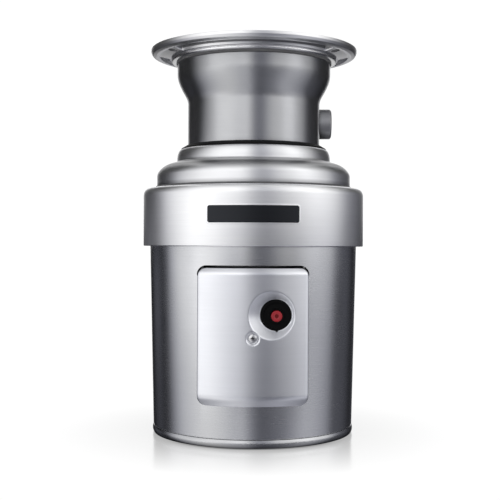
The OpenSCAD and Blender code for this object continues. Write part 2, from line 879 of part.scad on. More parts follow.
module rotor_cage() {
    r = stator_bore_r - air_gap;
    color("#c3c6ca") {
        ring(r - 12, r - 2, core_z0 - 6, core_z0);
        ring(r - 12, r - 2, core_z1, core_z1 + 6);
        for (i = [0:cage_bars - 1]) {
            at_angle(i * 360 / cage_bars, r - 5.5) rod(2.35, core_z0 - 1, core_z1 + 1);
        }
    }
}

module upper_bearing_cone() {
    color("#a5a8ac") rotate_extrude() polygon([
        [shaft_r + fit, bearing_z0], [cone_r0, bearing_z0],
        [cone_r1, bearing_z1], [shaft_r + fit, bearing_z1]
    ]);
}

module water_slinger() {
    color("#1f2022") rotate_extrude() polygon([
        [hub_seat_r + fit, shaft_step_z], [25, shaft_step_z], [24, shaft_step_z + 1.6],
        [20, shaft_step_z + 3], [hub_seat_r + fit, shaft_step_z + 3]
    ]);
}

// ---- shredder disc and impellers ----

module shredder_disc() {
    color("#b3b6ba") difference() {
        union() {
            rod(disc_r, disc_z0, disc_z1);
            rod(20, shaft_step_z + 3, disc_z0 + 1);
        }
        rod(hub_seat_r + fit, shaft_step_z, disc_z1 + 1);
        for (i = [0:15]) {
            at_angle((i + 0.5) * 22.5, 77) rod(2, disc_z0 - 1, disc_z1 + 1);
        }
        for (a = fixed_angles) {
            for (r = [56, 70]) {
                at_angle(a, r) rod(3, disc_z0 - 1, disc_z1 + 1);
            }
        }
        for (a = swivel_angles) {
            at_angle(a, pivot_r) rod(pivot_pin_r + fit, disc_z0 - 1, disc_z1 + 1);
        }
    }
}

module fixed_impellers() {
    top = disc_z1 + impeller_h;
    color("#c0c3c7") for (a = fixed_angles) {
        rotate([0, 0, a]) difference() {
            rotate([90, 0, 0]) translate([0, 0, -7]) linear_extrude(14) polygon(concat(
                [[48, disc_z1], [82, disc_z1]],
                arc(79, top - 3, 3, 0, 90, 4),
                [[73, top], [63, disc_z1 + 9], [50, disc_z1 + 7]]
            ));
            for (r = [56, 70]) {
                translate([r, 0, 0]) rod(3, disc_z1 - 1, disc_z1 + 5);
            }
        }
    }
}

module impeller_rivets() {
    color("#d0d3d6") for (a = fixed_angles) {
        for (r = [56, 70]) {
            at_angle(a, r) {
                rod(3, disc_z0, disc_z1 + 5);
                rod(4.8, disc_z0 - 2, disc_z0);
            }
        }
    }
}

module swivel_pins() {
    washer_z = disc_z1 + swivel_gap + arm_base_t + swivel_gap;
    color("#d0d3d6") for (a = swivel_angles) {
        at_angle(a, pivot_r) {
            rod(pivot_pin_r, disc_z0, washer_z);
            rod(6, disc_z0 - 2, disc_z0);
            rod(7.5, washer_z, washer_z + 2.2);
        }
    }
}

module swivel_impeller(a) {
    z0 = disc_z1 + swivel_gap;
    slant = (arm_base_r - arm_end_r) / arm_len;
    side = sqrt(1 - slant * slant);
    color("#c0c3c7") at_angle(a, pivot_r) rotate([0, 0, swivel_rest_a]) difference() {
        union() {
            rod(arm_base_r, z0, z0 + arm_base_t);
            translate([arm_len, 0, 0]) rod(arm_end_r, z0, disc_z1 + impeller_h);
            translate([0, 0, z0]) linear_extrude(arm_base_t) polygon([
                [arm_base_r * slant, -arm_base_r * side],
                [arm_len + arm_end_r * slant, -arm_end_r * side],
                [arm_len + arm_end_r * slant, arm_end_r * side],
                [arm_base_r * slant, arm_base_r * side]
            ]);
        }
        rod(pivot_pin_r + fit, z0 - 1, z0 + arm_base_t + 1);
    }
}

module swivel_impeller_a() {
    swivel_impeller(swivel_angles[0]);
}

module swivel_impeller_b() {
    swivel_impeller(swivel_angles[1]);
}

module disc_nut() {
    color("#d0d3d6") difference() {
        union() {
            hex_head(13, disc_z1, disc_z1 + 8);
            rod(9.5, disc_z1 + 8, disc_z1 + 11);
            translate([0, 0, disc_z1 + 11]) cylinder(r1 = 9.5, r2 = 6, h = 3);
        }
        rod(thread_r + fit, disc_z1 - 1, disc_z1 + 9);
    }
}

top_flange();
flange_gasket();
neck();
water_inlet_boss();
isolation_gasket();
upper_cover();
cover_seal();
centre_band();
badge_plate();
lower_shell();
bottom_pan();
pan_screws();
terminal_cover();
cover_screw();
terminal_box();
overload_protector();
terminal_block();
terminal_screws();
ground_screw();
motor_leads();
start_capacitor();
capacitor_clamp();
start_relay();
hopper();
shredder_ring();
chamber_gasket();
drain_chamber();
joint_screws_set();
drain_gasket();
drain_flange();
drain_screws();
shaft_seal();
upper_bearing_cup();
motor_frame();
stator_core();
stator_windings();
lower_end_bell();
lower_bearing();
through_bolts();
motor_shaft();
rotor_core();
rotor_cage();
upper_bearing_cone();
water_slinger();
shredder_disc();
fixed_impellers();
impeller_rivets();
swivel_pins();
disc_nut();
swivel_impeller_a();
swivel_impeller_b();
reset_button();
reset_spring();
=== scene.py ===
import json
import math

import bmesh
import bpy
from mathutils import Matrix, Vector


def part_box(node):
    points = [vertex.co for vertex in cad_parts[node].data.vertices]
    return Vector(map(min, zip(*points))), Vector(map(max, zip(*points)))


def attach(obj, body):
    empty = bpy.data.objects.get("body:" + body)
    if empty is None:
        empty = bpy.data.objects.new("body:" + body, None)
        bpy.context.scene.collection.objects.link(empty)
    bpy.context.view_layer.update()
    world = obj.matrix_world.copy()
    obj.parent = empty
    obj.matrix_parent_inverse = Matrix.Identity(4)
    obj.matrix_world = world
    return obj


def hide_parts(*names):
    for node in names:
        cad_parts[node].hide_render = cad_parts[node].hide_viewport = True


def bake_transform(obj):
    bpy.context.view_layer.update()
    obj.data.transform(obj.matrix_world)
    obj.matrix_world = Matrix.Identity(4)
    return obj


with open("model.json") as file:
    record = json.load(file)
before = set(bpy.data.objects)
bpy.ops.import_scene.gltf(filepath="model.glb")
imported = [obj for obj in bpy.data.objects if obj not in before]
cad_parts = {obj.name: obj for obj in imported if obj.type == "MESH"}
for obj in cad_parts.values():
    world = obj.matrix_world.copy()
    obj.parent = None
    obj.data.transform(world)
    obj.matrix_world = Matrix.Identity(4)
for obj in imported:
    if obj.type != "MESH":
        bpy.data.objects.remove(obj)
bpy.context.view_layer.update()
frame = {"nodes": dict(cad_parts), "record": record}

MM = 0.001
TAU = 2 * math.pi


# ---- places, from the frame ----

def low(node):
    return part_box(node)[0]


def high(node):
    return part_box(node)[1]


def middle(node, axis):
    """Middle of a node's box along the axis x, y or z."""
    return (getattr(low(node), axis) + getattr(high(node), axis)) / 2


def half_size(node, axis="x"):
    """Half of a node's size along the axis, which is the radius of a round node."""
    return (getattr(high(node), axis) - getattr(low(node), axis)) / 2


TOP_Z = high("top_flange").z
FLANGE_R = half_size("top_flange")
FLANGE_Z = low("top_flange").z
NECK_TOP_Z = high("neck").z
NECK_TOP_R = half_size("neck")
NECK_FLARE = 11.15 * MM
NECK_R = NECK_TOP_R - NECK_FLARE
SPIGOT_Z = low("neck").z
SPIGOT_R = 67 * MM
SPIGOT_HOLE_R = 67.3 * MM
GASKET_Z1 = high("isolation_gasket").z
GASKET_Z0 = low("isolation_gasket").z
GASKET_R = half_size("isolation_gasket")
COVER_R = half_size("upper_cover")
COVER_Z0 = low("upper_cover").z
BAND_R = half_size("centre_band")
BAND_Z0 = low("centre_band").z
BAND_Z1 = high("centre_band").z
SHELL_R1 = half_size("lower_shell")
SHELL_Z0 = low("lower_shell").z
SHELL_Z1 = high("lower_shell").z
SHELL_R0 = SHELL_R1 - 4.1 * MM
PAN_R = half_size("bottom_pan")
PANEL_LOW, PANEL_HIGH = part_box("terminal_cover")
PANEL_HALF_W = half_size("terminal_cover")
PANEL_HALF_H = half_size("terminal_cover", "z")
PANEL_Z = middle("terminal_cover", "z")
BUTTON_LOW, BUTTON_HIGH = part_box("reset_button")
BUTTON_X = middle("reset_button", "x")
BUTTON_Z = middle("reset_button", "z")
BUTTON_R = half_size("reset_button")
TUBE_Z = middle("drain_flange", "z")
INLET_Z = middle("water_inlet_boss", "z")
INLET_R = half_size("water_inlet_boss", "z")
INLET_FACE_X = high("water_inlet_boss").x
SHEET = 1.2 * MM
THROAT_R = 64 * MM


# ---- mesh helpers ----

def ease(t):
    """Smooth step from 0 to 1 while t goes from 0 to 1."""
    t = min(1, max(0, t))
    return t * t * (3 - 2 * t)


def arc(x, z, r, start, end, steps):
    """Points of an arc about (x, z), from the angle start to end, in degrees."""
    turns = [math.radians(start + (end - start) * k / steps) for k in range(steps + 1)]
    return [(x + r * math.cos(a), z + r * math.sin(a)) for a in turns]


def rounded(corners, steps=5):
    """Outline from corners (r, z, fillet radius in mm), with an arc at each corner that has a radius."""
    out = []
    n = len(corners)
    for i, corner in enumerate(corners):
        here = Vector(corner[:2])
        fillet = corner[2] * MM if len(corner) > 2 else 0
        before = Vector(corners[i - 1][:2]) - here
        after = Vector(corners[(i + 1) % n][:2]) - here
        if fillet <= 0 or before.length < 1e-9 or after.length < 1e-9:
            out.append(tuple(here))
            continue
        u, v = before.normalized(), after.normalized()
        half = u.angle(v) / 2
        if half > math.radians(88.5):
            out.append(tuple(here))
            continue
        reach = min(fillet / math.tan(half), 0.49 * before.length, 0.49 * after.length)
        fillet = reach * math.tan(half)
        centre = here + (u + v).normalized() * (fillet / math.sin(half))
        start, end = here + u * reach - centre, here + v * reach - centre
        turn = start.angle_signed(end)
        for k in range(steps + 1):
            a = -turn * k / steps
            c, s = math.cos(a), math.sin(a)
            out.append((centre.x + start.x * c - start.y * s, centre.y + start.x * s + start.y * c))
    return out


def finish_mesh(obj, sharp=32):
    """Smooth shading with hard edges above the angle sharp, in degrees."""
    mesh = obj.data
    mesh.shade_smooth()
    mesh.set_sharp_from_angle(angle=math.radians(sharp))
    mesh.update()
    return obj


def new_object(name, bm, sharp=32):
    bmesh.ops.remove_doubles(bm, verts=bm.verts, dist=1e-7)
    bmesh.ops.recalc_face_normals(bm, faces=bm.faces)
    mesh = bpy.data.meshes.new(name)
    bm.to_mesh(mesh)
    bm.free()
    obj = bpy.data.objects.new(name, mesh)
    bpy.context.scene.collection.objects.link(obj)
    return finish_mesh(obj, sharp)


def skin(bm, outlines, closed=False):
    """Rings of vertices at the outlines, with quads between neighbours, and from last to first if closed."""
    rings = [[bm.verts.new(p) for p in outline] for outline in outlines]
    for a, b in zip(rings, rings[1:] + (rings[:1] if closed else [])):
        for k in range(len(a)):
            m = (k + 1) % len(a)
            bm.faces.new((a[k], b[k], b[m], a[m]))
    return rings


def lathe(name, loop, segments=256, place=Vector, sharp=32):
    """Closed outline [(r, z)] turned about Z. place maps a point of the lathe to the object."""
    bm = bmesh.new()
    turns = [(math.cos(TAU * i / segments), math.sin(TAU * i / segments)) for i in range(segments)]
    skin(bm, [[place(Vector((r * c, r * s, z))) for r, z in loop] for c, s in turns], closed=True)
    bmesh.ops.remove_doubles(bm, verts=bm.verts, dist=1e-7)
    bmesh.ops.dissolve_degenerate(bm, dist=1e-7, edges=bm.edges)
    return new_object(name, bm, sharp)


def along_y(x, z, y=0.0):
    """The lathe's axis Z laid along -Y, through (x, z)."""
    return lambda p: Vector((x + p.x, y - p.z, z + p.y))


def along_x(z):
    """The lathe's axis Z laid along X, at the height z."""
    return lambda p: Vector((p.z, p.x, z + p.y))


def cutter(near, far):
    """Solid between two outlines with equally many points, to be cut away."""
    bm = bmesh.new()
    for ring in skin(bm, [near, far]):
        bm.faces.new(ring)
    return new_object("cutter", bm)


def rod_cutter(r, start, end, segments=64):
    """Cylinder from point start to point end, to be cut away."""
    start, end = Vector(start), Vector(end)
    axis = (end - start).normalized()
    side = axis.orthogonal().normalized()
    other = axis.cross(side)
    rim = [(side * math.cos(TAU * i / segments) + other * math.sin(TAU * i / segments)) * r
           for i in range(segments)]
    return cutter([start + p for p in rim], [end + p for p in rim])


def prism_cutter(outline, y0, y1):
    """Outline [(x, z)] drawn along Y, to be cut away."""
    return cutter([(x, y0, z) for x, z in outline], [(x, y1, z) for x, z in outline])


def rounded_rect(width, z0, z1, r, steps=12):
    points = []
    for x, z, start in ((1, 1, 0), (-1, 1, 90), (-1, -1, 180), (1, -1, 270)):
        points += arc(x * (width / 2 - r), (z0 + z1) / 2 + z * ((z1 - z0) / 2 - r), r, start, start + 90, steps)
    return points


def carve(obj, *cutters, sharp=32):
    """Cuts each cutter out of obj and removes it."""
    for tool in cutters:
        modifier = obj.modifiers.new("cut", "BOOLEAN")
        modifier.operation = "DIFFERENCE"
        modifier.solver = "EXACT"
        modifier.object = tool
    graph = bpy.context.evaluated_depsgraph_get()
    cut = bpy.data.meshes.new_from_object(obj.evaluated_get(graph))
    obj.modifiers.clear()
    old = obj.data
    obj.data = cut
    bpy.data.meshes.remove(old)
    for tool in cutters:
        bpy.data.objects.remove(tool)
    finish_mesh(obj, sharp)


def install(obj, body, slot, *nodes, look=None):
    """Gives a piece its material, its body and the CAD nodes that it stands for."""
    obj.data.materials.clear()
    obj.data.materials.append(MATERIALS[look or slot])
    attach(obj, body)
    if nodes:
        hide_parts(*nodes)


# ---- materials ----

NOISE_LOW, NOISE_HIGH = 0.3, 0.7


class Nodes:
    """Short ways to add and link the shader nodes of a material or a world."""

    def __init__(self, owner):
        owner.use_nodes = True
        self.owner = owner
        self.tree = owner.node_tree
        self.shader = self.tree.nodes.get("Principled BSDF")

    def feed(self, node, inputs):
        """Links or sets the inputs of a node, by name or number."""
        for key, amount in inputs.items():
            if isinstance(amount, bpy.types.NodeSocket):
                self.tree.links.new(amount, node.inputs[key])
            else:
                node.inputs[key].default_value = amount
        return node

    def add(self, kind, inputs={}, **settings):
        node = self.tree.nodes.new(kind)
        for key, value in settings.items():
            setattr(node, key, value)
        return self.feed(node, inputs)

    def finish(self, inputs):
        """Feeds the material's own shader."""
        self.feed(self.shader, inputs)
        return self.owner

    def surface(self, shader):
        """Puts another shader in the place of the material's own."""
        self.feed(self.tree.nodes["Material Output"], {"Surface": shader})

    def coords(self, kind="Object"):
        return self.add("ShaderNodeTexCoord").outputs[kind]

    def split(self, vector):
        return self.add("ShaderNodeSeparateXYZ", {0: vector}).outputs

    def math(self, operation, *amounts, clamp=False):
        return self.add("ShaderNodeMath", dict(enumerate(amounts)), operation=operation, use_clamp=clamp).outputs[0]

    def vector(self, operation, *amounts):
        node = self.add("ShaderNodeVectorMath", dict(enumerate(amounts)), operation=operation)
        return node.outputs["Value" if operation == "LENGTH" else "Vector"]

    def hypot(self, a, b):
        return self.math("SQRT", self.math("ADD", self.math("MULTIPLY", a, a), self.math("MULTIPLY", b, b)))

    def noise(self, vector, scale, detail, rough):
        return self.add("ShaderNodeTexNoise", {"Vector": vector, "Scale": scale, "Detail": detail,
                                               "Roughness": rough}).outputs["Fac"]

    def remap(self, source, a, b, c, d, **settings):
        """Source from a..b carried over to c..d."""
        return self.add("ShaderNodeMapRange", {"Value": source, "From Min": a, "From Max": b, "To Min": c,
                                               "To Max": d}, **settings).outputs["Result"]

    def spread(self, noise, c, d):
        """Noise carried over to c..d."""
        return self.remap(noise, NOISE_LOW, NOISE_HIGH, c, d)

    def step(self, source, start, end):
        """Smooth step of source, rising from start to end, or falling if end is lower."""
        return self.remap(source, min(start, end), max(start, end), float(start > end), float(start < end),
                          interpolation_type="SMOOTHSTEP")

    def mix(self, factor, a, b, blend="MIX"):
        return self.add("ShaderNodeMix", {"Factor": factor, 6: a, 7: b}, data_type="RGBA",
                        blend_type=blend).outputs[2]

    def mix_shader(self, factor, a, b):
        return self.add("ShaderNodeMixShader", {0: factor, 1: a, 2: b}).outputs[0]

    def tint(self, colour, amount):
        """The colour times the grey amount."""
        return self.mix(1.0, (*colour, 1), amount, "MULTIPLY")

    def bump(self, height, strength, distance):
        return self.add("ShaderNodeBump", {"Strength": strength, "Distance": distance,
                                           "Height": height}).outputs["Normal"]

    def around(self, stretch, fine):
        """The object coordinates, their radius and height, coordinates that run slowly round the vertical
        axis and quickly along it, and the tangent."""
        coords = self.coords()
        flat = self.vector("MULTIPLY", coords, (1, 1, 0))
        unit = self.vector("NORMALIZE", flat)
        radius = self.vector("LENGTH", flat)
        height = self.split(coords)["Z"]
        turn = self.split(unit)
        streak_at = self.add("ShaderNodeCombineXYZ", {
            "X": self.math("MULTIPLY", turn["X"], stretch), "Y": self.math("MULTIPLY", turn["Y"], stretch),
            "Z": self.math("MULTIPLY", self.math("ADD", height, radius), fine)}).outputs[0]
        return coords, radius, height, streak_at, self.vector("CROSS_PRODUCT", (0, 0, 1), unit)


def new_material(name):
    return Nodes(bpy.data.materials.new(name))


def brushed(name, colour, rough, brush, anisotropy, painted_shade_rings=()):
    """Stainless steel brushed round the vertical axis, with long streaks, fine lines and faint smudges.
    Each ring of painted shade (radius, height, size, level) darkens the colour down to level close to the ring."""
    n = new_material(name)
    coords, radius, height, streak_at, tangent = n.around(stretch=1.6, fine=650)
    streaks = n.noise(streak_at, 1.0, 4.0, 0.62)
    lines = n.noise(streak_at, 3.4, 5.0, 0.7)
    smudge = n.noise(coords, 22, 2.0, 0.5)
    tone = n.math("ADD", n.spread(streaks, 1 - 0.03 * brush, 1 + 0.03 * brush), n.spread(smudge, -0.02, 0.02))
    # Painted shade: close to each ring the colour is darkened towards that ring's level.
    for shade_ring_r, shade_ring_z, size, level in painted_shade_rings:
        away = n.hypot(n.math("SUBTRACT", radius, shade_ring_r), n.math("SUBTRACT", height, shade_ring_z))
        tone = n.math("MULTIPLY", tone, n.remap(away, 0.0, size, level, 1.0))
    gloss = n.math("ADD", n.remap(lines, 0.25, 0.75, rough - 0.05 * brush, rough + 0.05 * brush),
                   n.spread(smudge, 0.015, -0.015), clamp=True)
    return n.finish({
        "Base Color": n.tint(colour, tone), "Roughness": gloss, "Tangent": tangent,
        "Normal": n.bump(n.math("ADD", streaks, lines), 0.05 * brush, 0.0001),
        "Metallic": 1.0, "Anisotropic": anisotropy, "Anisotropic Rotation": 0.25})


def cast(name, colour, rough, grain=900, depth=0.00025):
    """Cast or ground metal with a fine pitted skin and darker hollows."""
    n = new_material(name)
    coords = n.coords()
    pits = n.noise(coords, grain, 4.0, 0.6)
    patches = n.noise(coords, 35, 3.0, 0.55)
    tone = n.math("ADD", n.spread(pits, 0.88, 1.06), n.spread(patches, -0.06, 0.05))
    return n.finish({
        "Base Color": n.tint(colour, tone), "Roughness": n.spread(patches, rough - 0.06, rough + 0.08),
        "Normal": n.bump(pits, 0.25, depth), "Metallic": 1.0})


def plastic(name, colour, rough, shine=0.5, coat=0.0, grain=1400):
    """Moulded plastic, rubber or paint with a fine texture and uneven gloss."""
    n = new_material(name)
    coords = n.coords()
    texture = n.noise(coords, grain, 3.0, 0.6)
    cloud = n.noise(coords, 60, 2.0, 0.5)
    return n.finish({
        "Base Color": n.tint(colour, n.spread(cloud, 0.9, 1.1)),
        "Roughness": n.spread(texture, rough - 0.05, rough + 0.05), "Normal": n.bump(texture, 0.15, 0.0001),
        "Specular IOR Level": shine, "Coat Weight": coat, "Coat Roughness": 0.15})


def wound(name, colour):
    """Varnished copper wire, laid in fine turns."""
    n = new_material(name)
    turns = n.noise(n.around(stretch=1.5, fine=700)[3], 1.0, 2.0, 0.5)
    return n.finish({
        "Base Color": n.tint(colour, n.spread(turns, 0.6, 1.2)), "Roughness": n.spread(turns, 0.25, 0.45),
        "Normal": n.bump(turns, 0.6, 0.0006), "Metallic": 0.9})


# Rings of painted shade: down the root of the inlet boss, in the hollow between the cover's shoulder and crown, at the
# cover's foot on the band, and round the pan's lower edge.
BOSS_PAINTED_SHADE = [(NECK_R - 1 * MM, INLET_Z + k * 4 * MM, 4.5 * MM, 0.4) for k in range(-3, 4)]
COVER_PAINTED_SHADE = [(84 * MM, 276.5 * MM, 5 * MM, 0.25), (93 * MM, 273 * MM, 10 * MM, 0.25),
                 (COVER_R, BAND_Z1 + 1.5 * MM, 5 * MM, 0.4)]
PAN_PAINTED_SHADE = [(PAN_R - 1.5 * MM, 0, 5.5 * MM, 0.08)]

# colour, roughness, strength of the brush marks, anisotropy, rings of painted shade
BRUSHED = {
    "flange_steel": ((0.95, 0.95, 0.96), 0.34, 0.6, 0.2),
    "bead_steel": ((0.97, 0.97, 0.98), 0.26, 0.4, 0.1),
    "neck_steel": ((0.55, 0.555, 0.57), 0.33, 0.55, 0.85),
    "boss_steel": ((0.42, 0.423, 0.435), 0.46, 0.6, 0.2, BOSS_PAINTED_SHADE),
    "cover_steel": ((0.845, 0.85, 0.865), 0.35, 0.7, 0.3, COVER_PAINTED_SHADE),
    "band_steel": ((0.97, 0.973, 0.985), 0.36, 0.7, 0.1),
    "shell_steel": ((0.66, 0.665, 0.683), 0.26, 0.55, 0.45),
    "pan_steel": ((0.58, 0.585, 0.60), 0.27, 0.5, 0.5, PAN_PAINTED_SHADE),
    "panel_steel": ((0.875, 0.885, 0.925), 0.34, 0.4, 0.3),
    "badge_field": ((0.035, 0.037, 0.042), 0.42, 0.4, 0.3),
    "core_steel": ((0.25, 0.25, 0.26), 0.45, 1.5, 0.2),
    "shaft_steel": ((0.7, 0.7, 0.71), 0.18, 0.5, 0.4),
}
# colour, roughness, scale and depth of the pits
CAST = {
    # flange_pocket_shade: darker steel that paints shade in the flange's bolt holes and front pocket.
    "flange_pocket_shade": ((0.34, 0.34, 0.35), 0.5, 700, 0.0001),
    "screw_steel": ((0.72, 0.72, 0.73), 0.24, 1600, 0.00004),
    "brass_parts": ((0.78, 0.56, 0.24), 0.3),
    "green_plating": ((0.06, 0.35, 0.14), 0.32),
    "clamp_steel": ((0.6, 0.6, 0.62), 0.35),
    "cast_alloy": ((0.52, 0.53, 0.54), 0.5, 500, 0.0005),
    "grind_steel": ((0.62, 0.62, 0.63), 0.33, 700, 0.0002),
    "rivet_steel": ((0.74, 0.74, 0.75), 0.22, 1200, 0.00008),
    "bearing_steel": ((0.7, 0.7, 0.71), 0.12, 2000, 0.00002),
    "cage_alloy": ((0.7, 0.7, 0.71), 0.4),
    "spring_steel": ((0.6, 0.6, 0.6), 0.2),
}
# colour, roughness, specular level, coat, scale of the texture
PLASTIC = {
    "black_rubber": ((0.004, 0.004, 0.0045), 0.62, 0.12),
    "seal_rubber": ((0.10, 0.10, 0.104), 0.55, 0.4),
    "box_paint": ((0.01, 0.01, 0.011), 0.6),
    "black_plastic": ((0.0018, 0.0018, 0.002), 0.5, 0.1),
    "block_plastic": ((0.70, 0.66, 0.55), 0.45),
    "lead_insulation": ((0.68, 0.66, 0.60), 0.5),
    "pipe_alloy": ((0.17, 0.175, 0.18), 0.38, 0.5, 0.3, 700),
    "frame_paint": ((0.05, 0.053, 0.058), 0.4, 0.5, 0.3),
    "red_plastic": ((0.31, 0.006, 0.014), 0.36, 0.5, 0.1),
    # red_painted_shade: a darker copy of the button's red, painted shade on its sides and sunk centre.
    "red_painted_shade": ((0.12, 0.001, 0.002), 0.5, 0.2),
    # recess_painted_shade: painted shade for the black pit in the cover screw's recess.
    "recess_painted_shade": ((0.01, 0.01, 0.012), 0.5),
}


def make_materials():
    mats = {name: brushed(name, *look) for name, look in BRUSHED.items()}
    mats.update((name, cast(name, *look)) for name, look in CAST.items())
    mats.update((name, plastic(name, *look)) for name, look in PLASTIC.items())
    mats["copper_wire"] = wound("copper_wire", (0.72, 0.30, 0.10))
    return mats


# ---- sink flange and neck ----

def make_flange():
    """Sink flange: a rolled rim, a bead round the hub, and pockets underneath between the bolt pads."""
    bore, pocket0, pocket1 = 76 * MM, 88 * MM, 98 * MM
    recess_z = TOP_Z - 3.5 * MM
    bolt_ring, bolt_r = 94 * MM, 4.5 * MM
    pockets = [(270, 54), (30, 34), (150, 34)]  # middle and half width, in degrees
    hub = [(bore + 0.4 * MM, FLANGE_Z), (82.6 * MM, FLANGE_Z), (84.0 * MM, FLANGE_Z + 0.3 * MM)]
    for k in range(13):
        a = math.radians(-75 + 165 * k / 12)
        hub.append((85.2 * MM + 0.9 * MM * max(0, math.cos(a)) ** 0.5,
                    FLANGE_Z + 2.15 * MM + 1.65 * MM * math.sin(a)))
    hub += [(84.2 * MM, FLANGE_Z + 3.75 * MM), (84.3 * MM, TOP_Z - 9.1 * MM), (84.8 * MM, TOP_Z - 8.9 * MM),
            (87.4 * MM, TOP_Z - 9.1 * MM)]
    under = []
    for k in range(21):
        t = k / 20
        depth = ease(t / 0.12) * ease((1 - t) / 0.12)
        under.append((pocket0 + (pocket1 - pocket0) * t, TOP_Z - 9.2 * MM + 2.3 * MM * t, depth))
    edge = rounded([
        (98.6 * MM, TOP_Z - 7.0 * MM, 0.4), (101.4 * MM, TOP_Z - 7.1 * MM, 0.9), (105.4 * MM, TOP_Z - 5.9 * MM, 2.0),
        (FLANGE_R, TOP_Z - 3.4 * MM, 1.6), (FLANGE_R, TOP_Z, 0.9), (104 * MM, TOP_Z), (100 * MM, TOP_Z),
        (88 * MM, TOP_Z), (86 * MM, TOP_Z), (bore + 4.5 * MM, TOP_Z, 4.5), (bore, TOP_Z - 5 * MM, 3.0)], 7)
    segments = 720
    outlines = []
    for i in range(segments):
        degrees = 360 * i / segments
        inside = max(half - abs((degrees - centre + 180) % 360 - 180) for centre, half in pockets)
        weight = ease(inside / 1.6)
        c, s = math.cos(math.radians(degrees)), math.sin(math.radians(degrees))
        loop = hub + [(r, z + (recess_z - z) * depth * weight) for r, z, depth in under] + edge
        outlines.append([(r * c, r * s, z) for r, z in loop])
    bm = bmesh.new()
    skin(bm, outlines, closed=True)
    flange = new_object("sink_flange", bm, 40)
    centres = [(bolt_ring * math.cos(math.radians(p)), bolt_ring * math.sin(math.radians(p))) for p in (-30, 90, 210)]
    carve(flange, *[rod_cutter(bolt_r, (x, y, TOP_Z - 20 * MM), (x, y, TOP_Z + 5 * MM)) for x, y in centres],
          sharp=40)
    install(flange, "housing", "flange_steel", "top_flange")
    flange.data.materials.append(MATERIALS["flange_pocket_shade"])
    flange.data.materials.append(MATERIALS["bead_steel"])
    # Painted shade: the bolt-hole walls and the front pocket take the darker flange_pocket_shade material; the hub
    # takes bead_steel.
    for polygon in flange.data.polygons:
        at = polygon.center
        r = math.hypot(at.x, at.y)
        upright = abs(polygon.normal.z) < 0.5
        drilled = upright and any(math.hypot(at.x - x, at.y - y) < bolt_r + 0.02 * MM for x, y in centres)
        shaded_front_pocket = (at.y < -40 * MM and pocket0 + 0.2 * MM < r < pocket1 - 0.2 * MM
                        and TOP_Z - 6.6 * MM < at.z < TOP_Z - 1 * MM)
        if drilled or shaded_front_pocket:
            polygon.material_index = 1
        elif r < 86.3 * MM and at.z < FLANGE_Z + 3.7 * MM:
            polygon.material_index = 2


BULGE_START, BEND_END = -0.0818, 0.2
BEND = 2.348


def neck_bulge(t):
    """How far the neck has flared out at the share t of the flare's height: an even bend, then a long S."""
    return BEND * (t - BULGE_START) ** 2 if t < BEND_END else ease(t ** 0.8)


def make_neck():
    flare_z, flare_h = 340.5 * MM, 29 * MM
    bore = NECK_R - 4.3 * MM
    seat_z = GASKET_Z1 + 0.02 * MM
    steps = 40
    shares = [BULGE_START + (1 - BULGE_START) * k / steps for k in range(steps + 1)]
    flare = [(NECK_FLARE * neck_bulge(t), flare_z + flare_h * t) for t in shares]
    loop = rounded([(THROAT_R, SPIGOT_Z, 0.5), (SPIGOT_R, SPIGOT_Z, 0.5), (SPIGOT_R, seat_z), (NECK_R, seat_z, 0.5)])
    straight = flare_z + flare_h * BULGE_START - 1 * MM - (GASKET_Z1 + 2 * MM)
    loop += [(NECK_R, GASKET_Z1 + 2 * MM + straight * k / 24) for k in range(25)]
    loop += [(NECK_R + out, z) for out, z in flare]
    loop += rounded([(NECK_TOP_R, NECK_TOP_Z - 4 * MM), (NECK_TOP_R, NECK_TOP_Z, 0.8),
                     (bore + NECK_FLARE, NECK_TOP_Z, 0.5), (bore + NECK_FLARE, NECK_TOP_Z - 4 * MM)])
    loop += [(bore + out, z) for out, z in reversed(flare)]
    loop.append((THROAT_R, flare_z - 5 * MM))
    neck = lathe("neck_spun", loop)
    carve(neck, rod_cutter(INLET_R, (20 * MM, 0, INLET_Z), (120 * MM, 0, INLET_Z), 96))
    install(neck, "housing", "neck_steel", "neck")


def make_inlet():
    """Boss of the water inlet, with turned threads in its bore."""
    bore, pitch, root_x = 9.13 * MM, 1.81 * MM, 60 * MM
    thread = []
    x = INLET_FACE_X - 1.2 * MM
    while x > 68 * MM:
        thread += [(bore + 0.9 * MM, x), (bore + 0.05 * MM, x - pitch / 2)]
        x -= pitch
    loop = rounded([(INLET_R, root_x), (INLET_R, INLET_FACE_X - 1.4 * MM, 1.2),
                    (INLET_R - 1.6 * MM, INLET_FACE_X, 0.9), (bore + 1.9 * MM, INLET_FACE_X, 0.3)])
    loop += thread
    loop.append((bore + 0.05 * MM, root_x))
    boss = lathe("inlet_boss", loop, 128, along_x(INLET_Z))
    carve(boss, rod_cutter(THROAT_R, (0, 0, INLET_Z - 40 * MM), (0, 0, INLET_Z + 40 * MM), 256))
    install(boss, "housing", "boss_steel", "water_inlet_boss")
    boss.visible_glossy = False


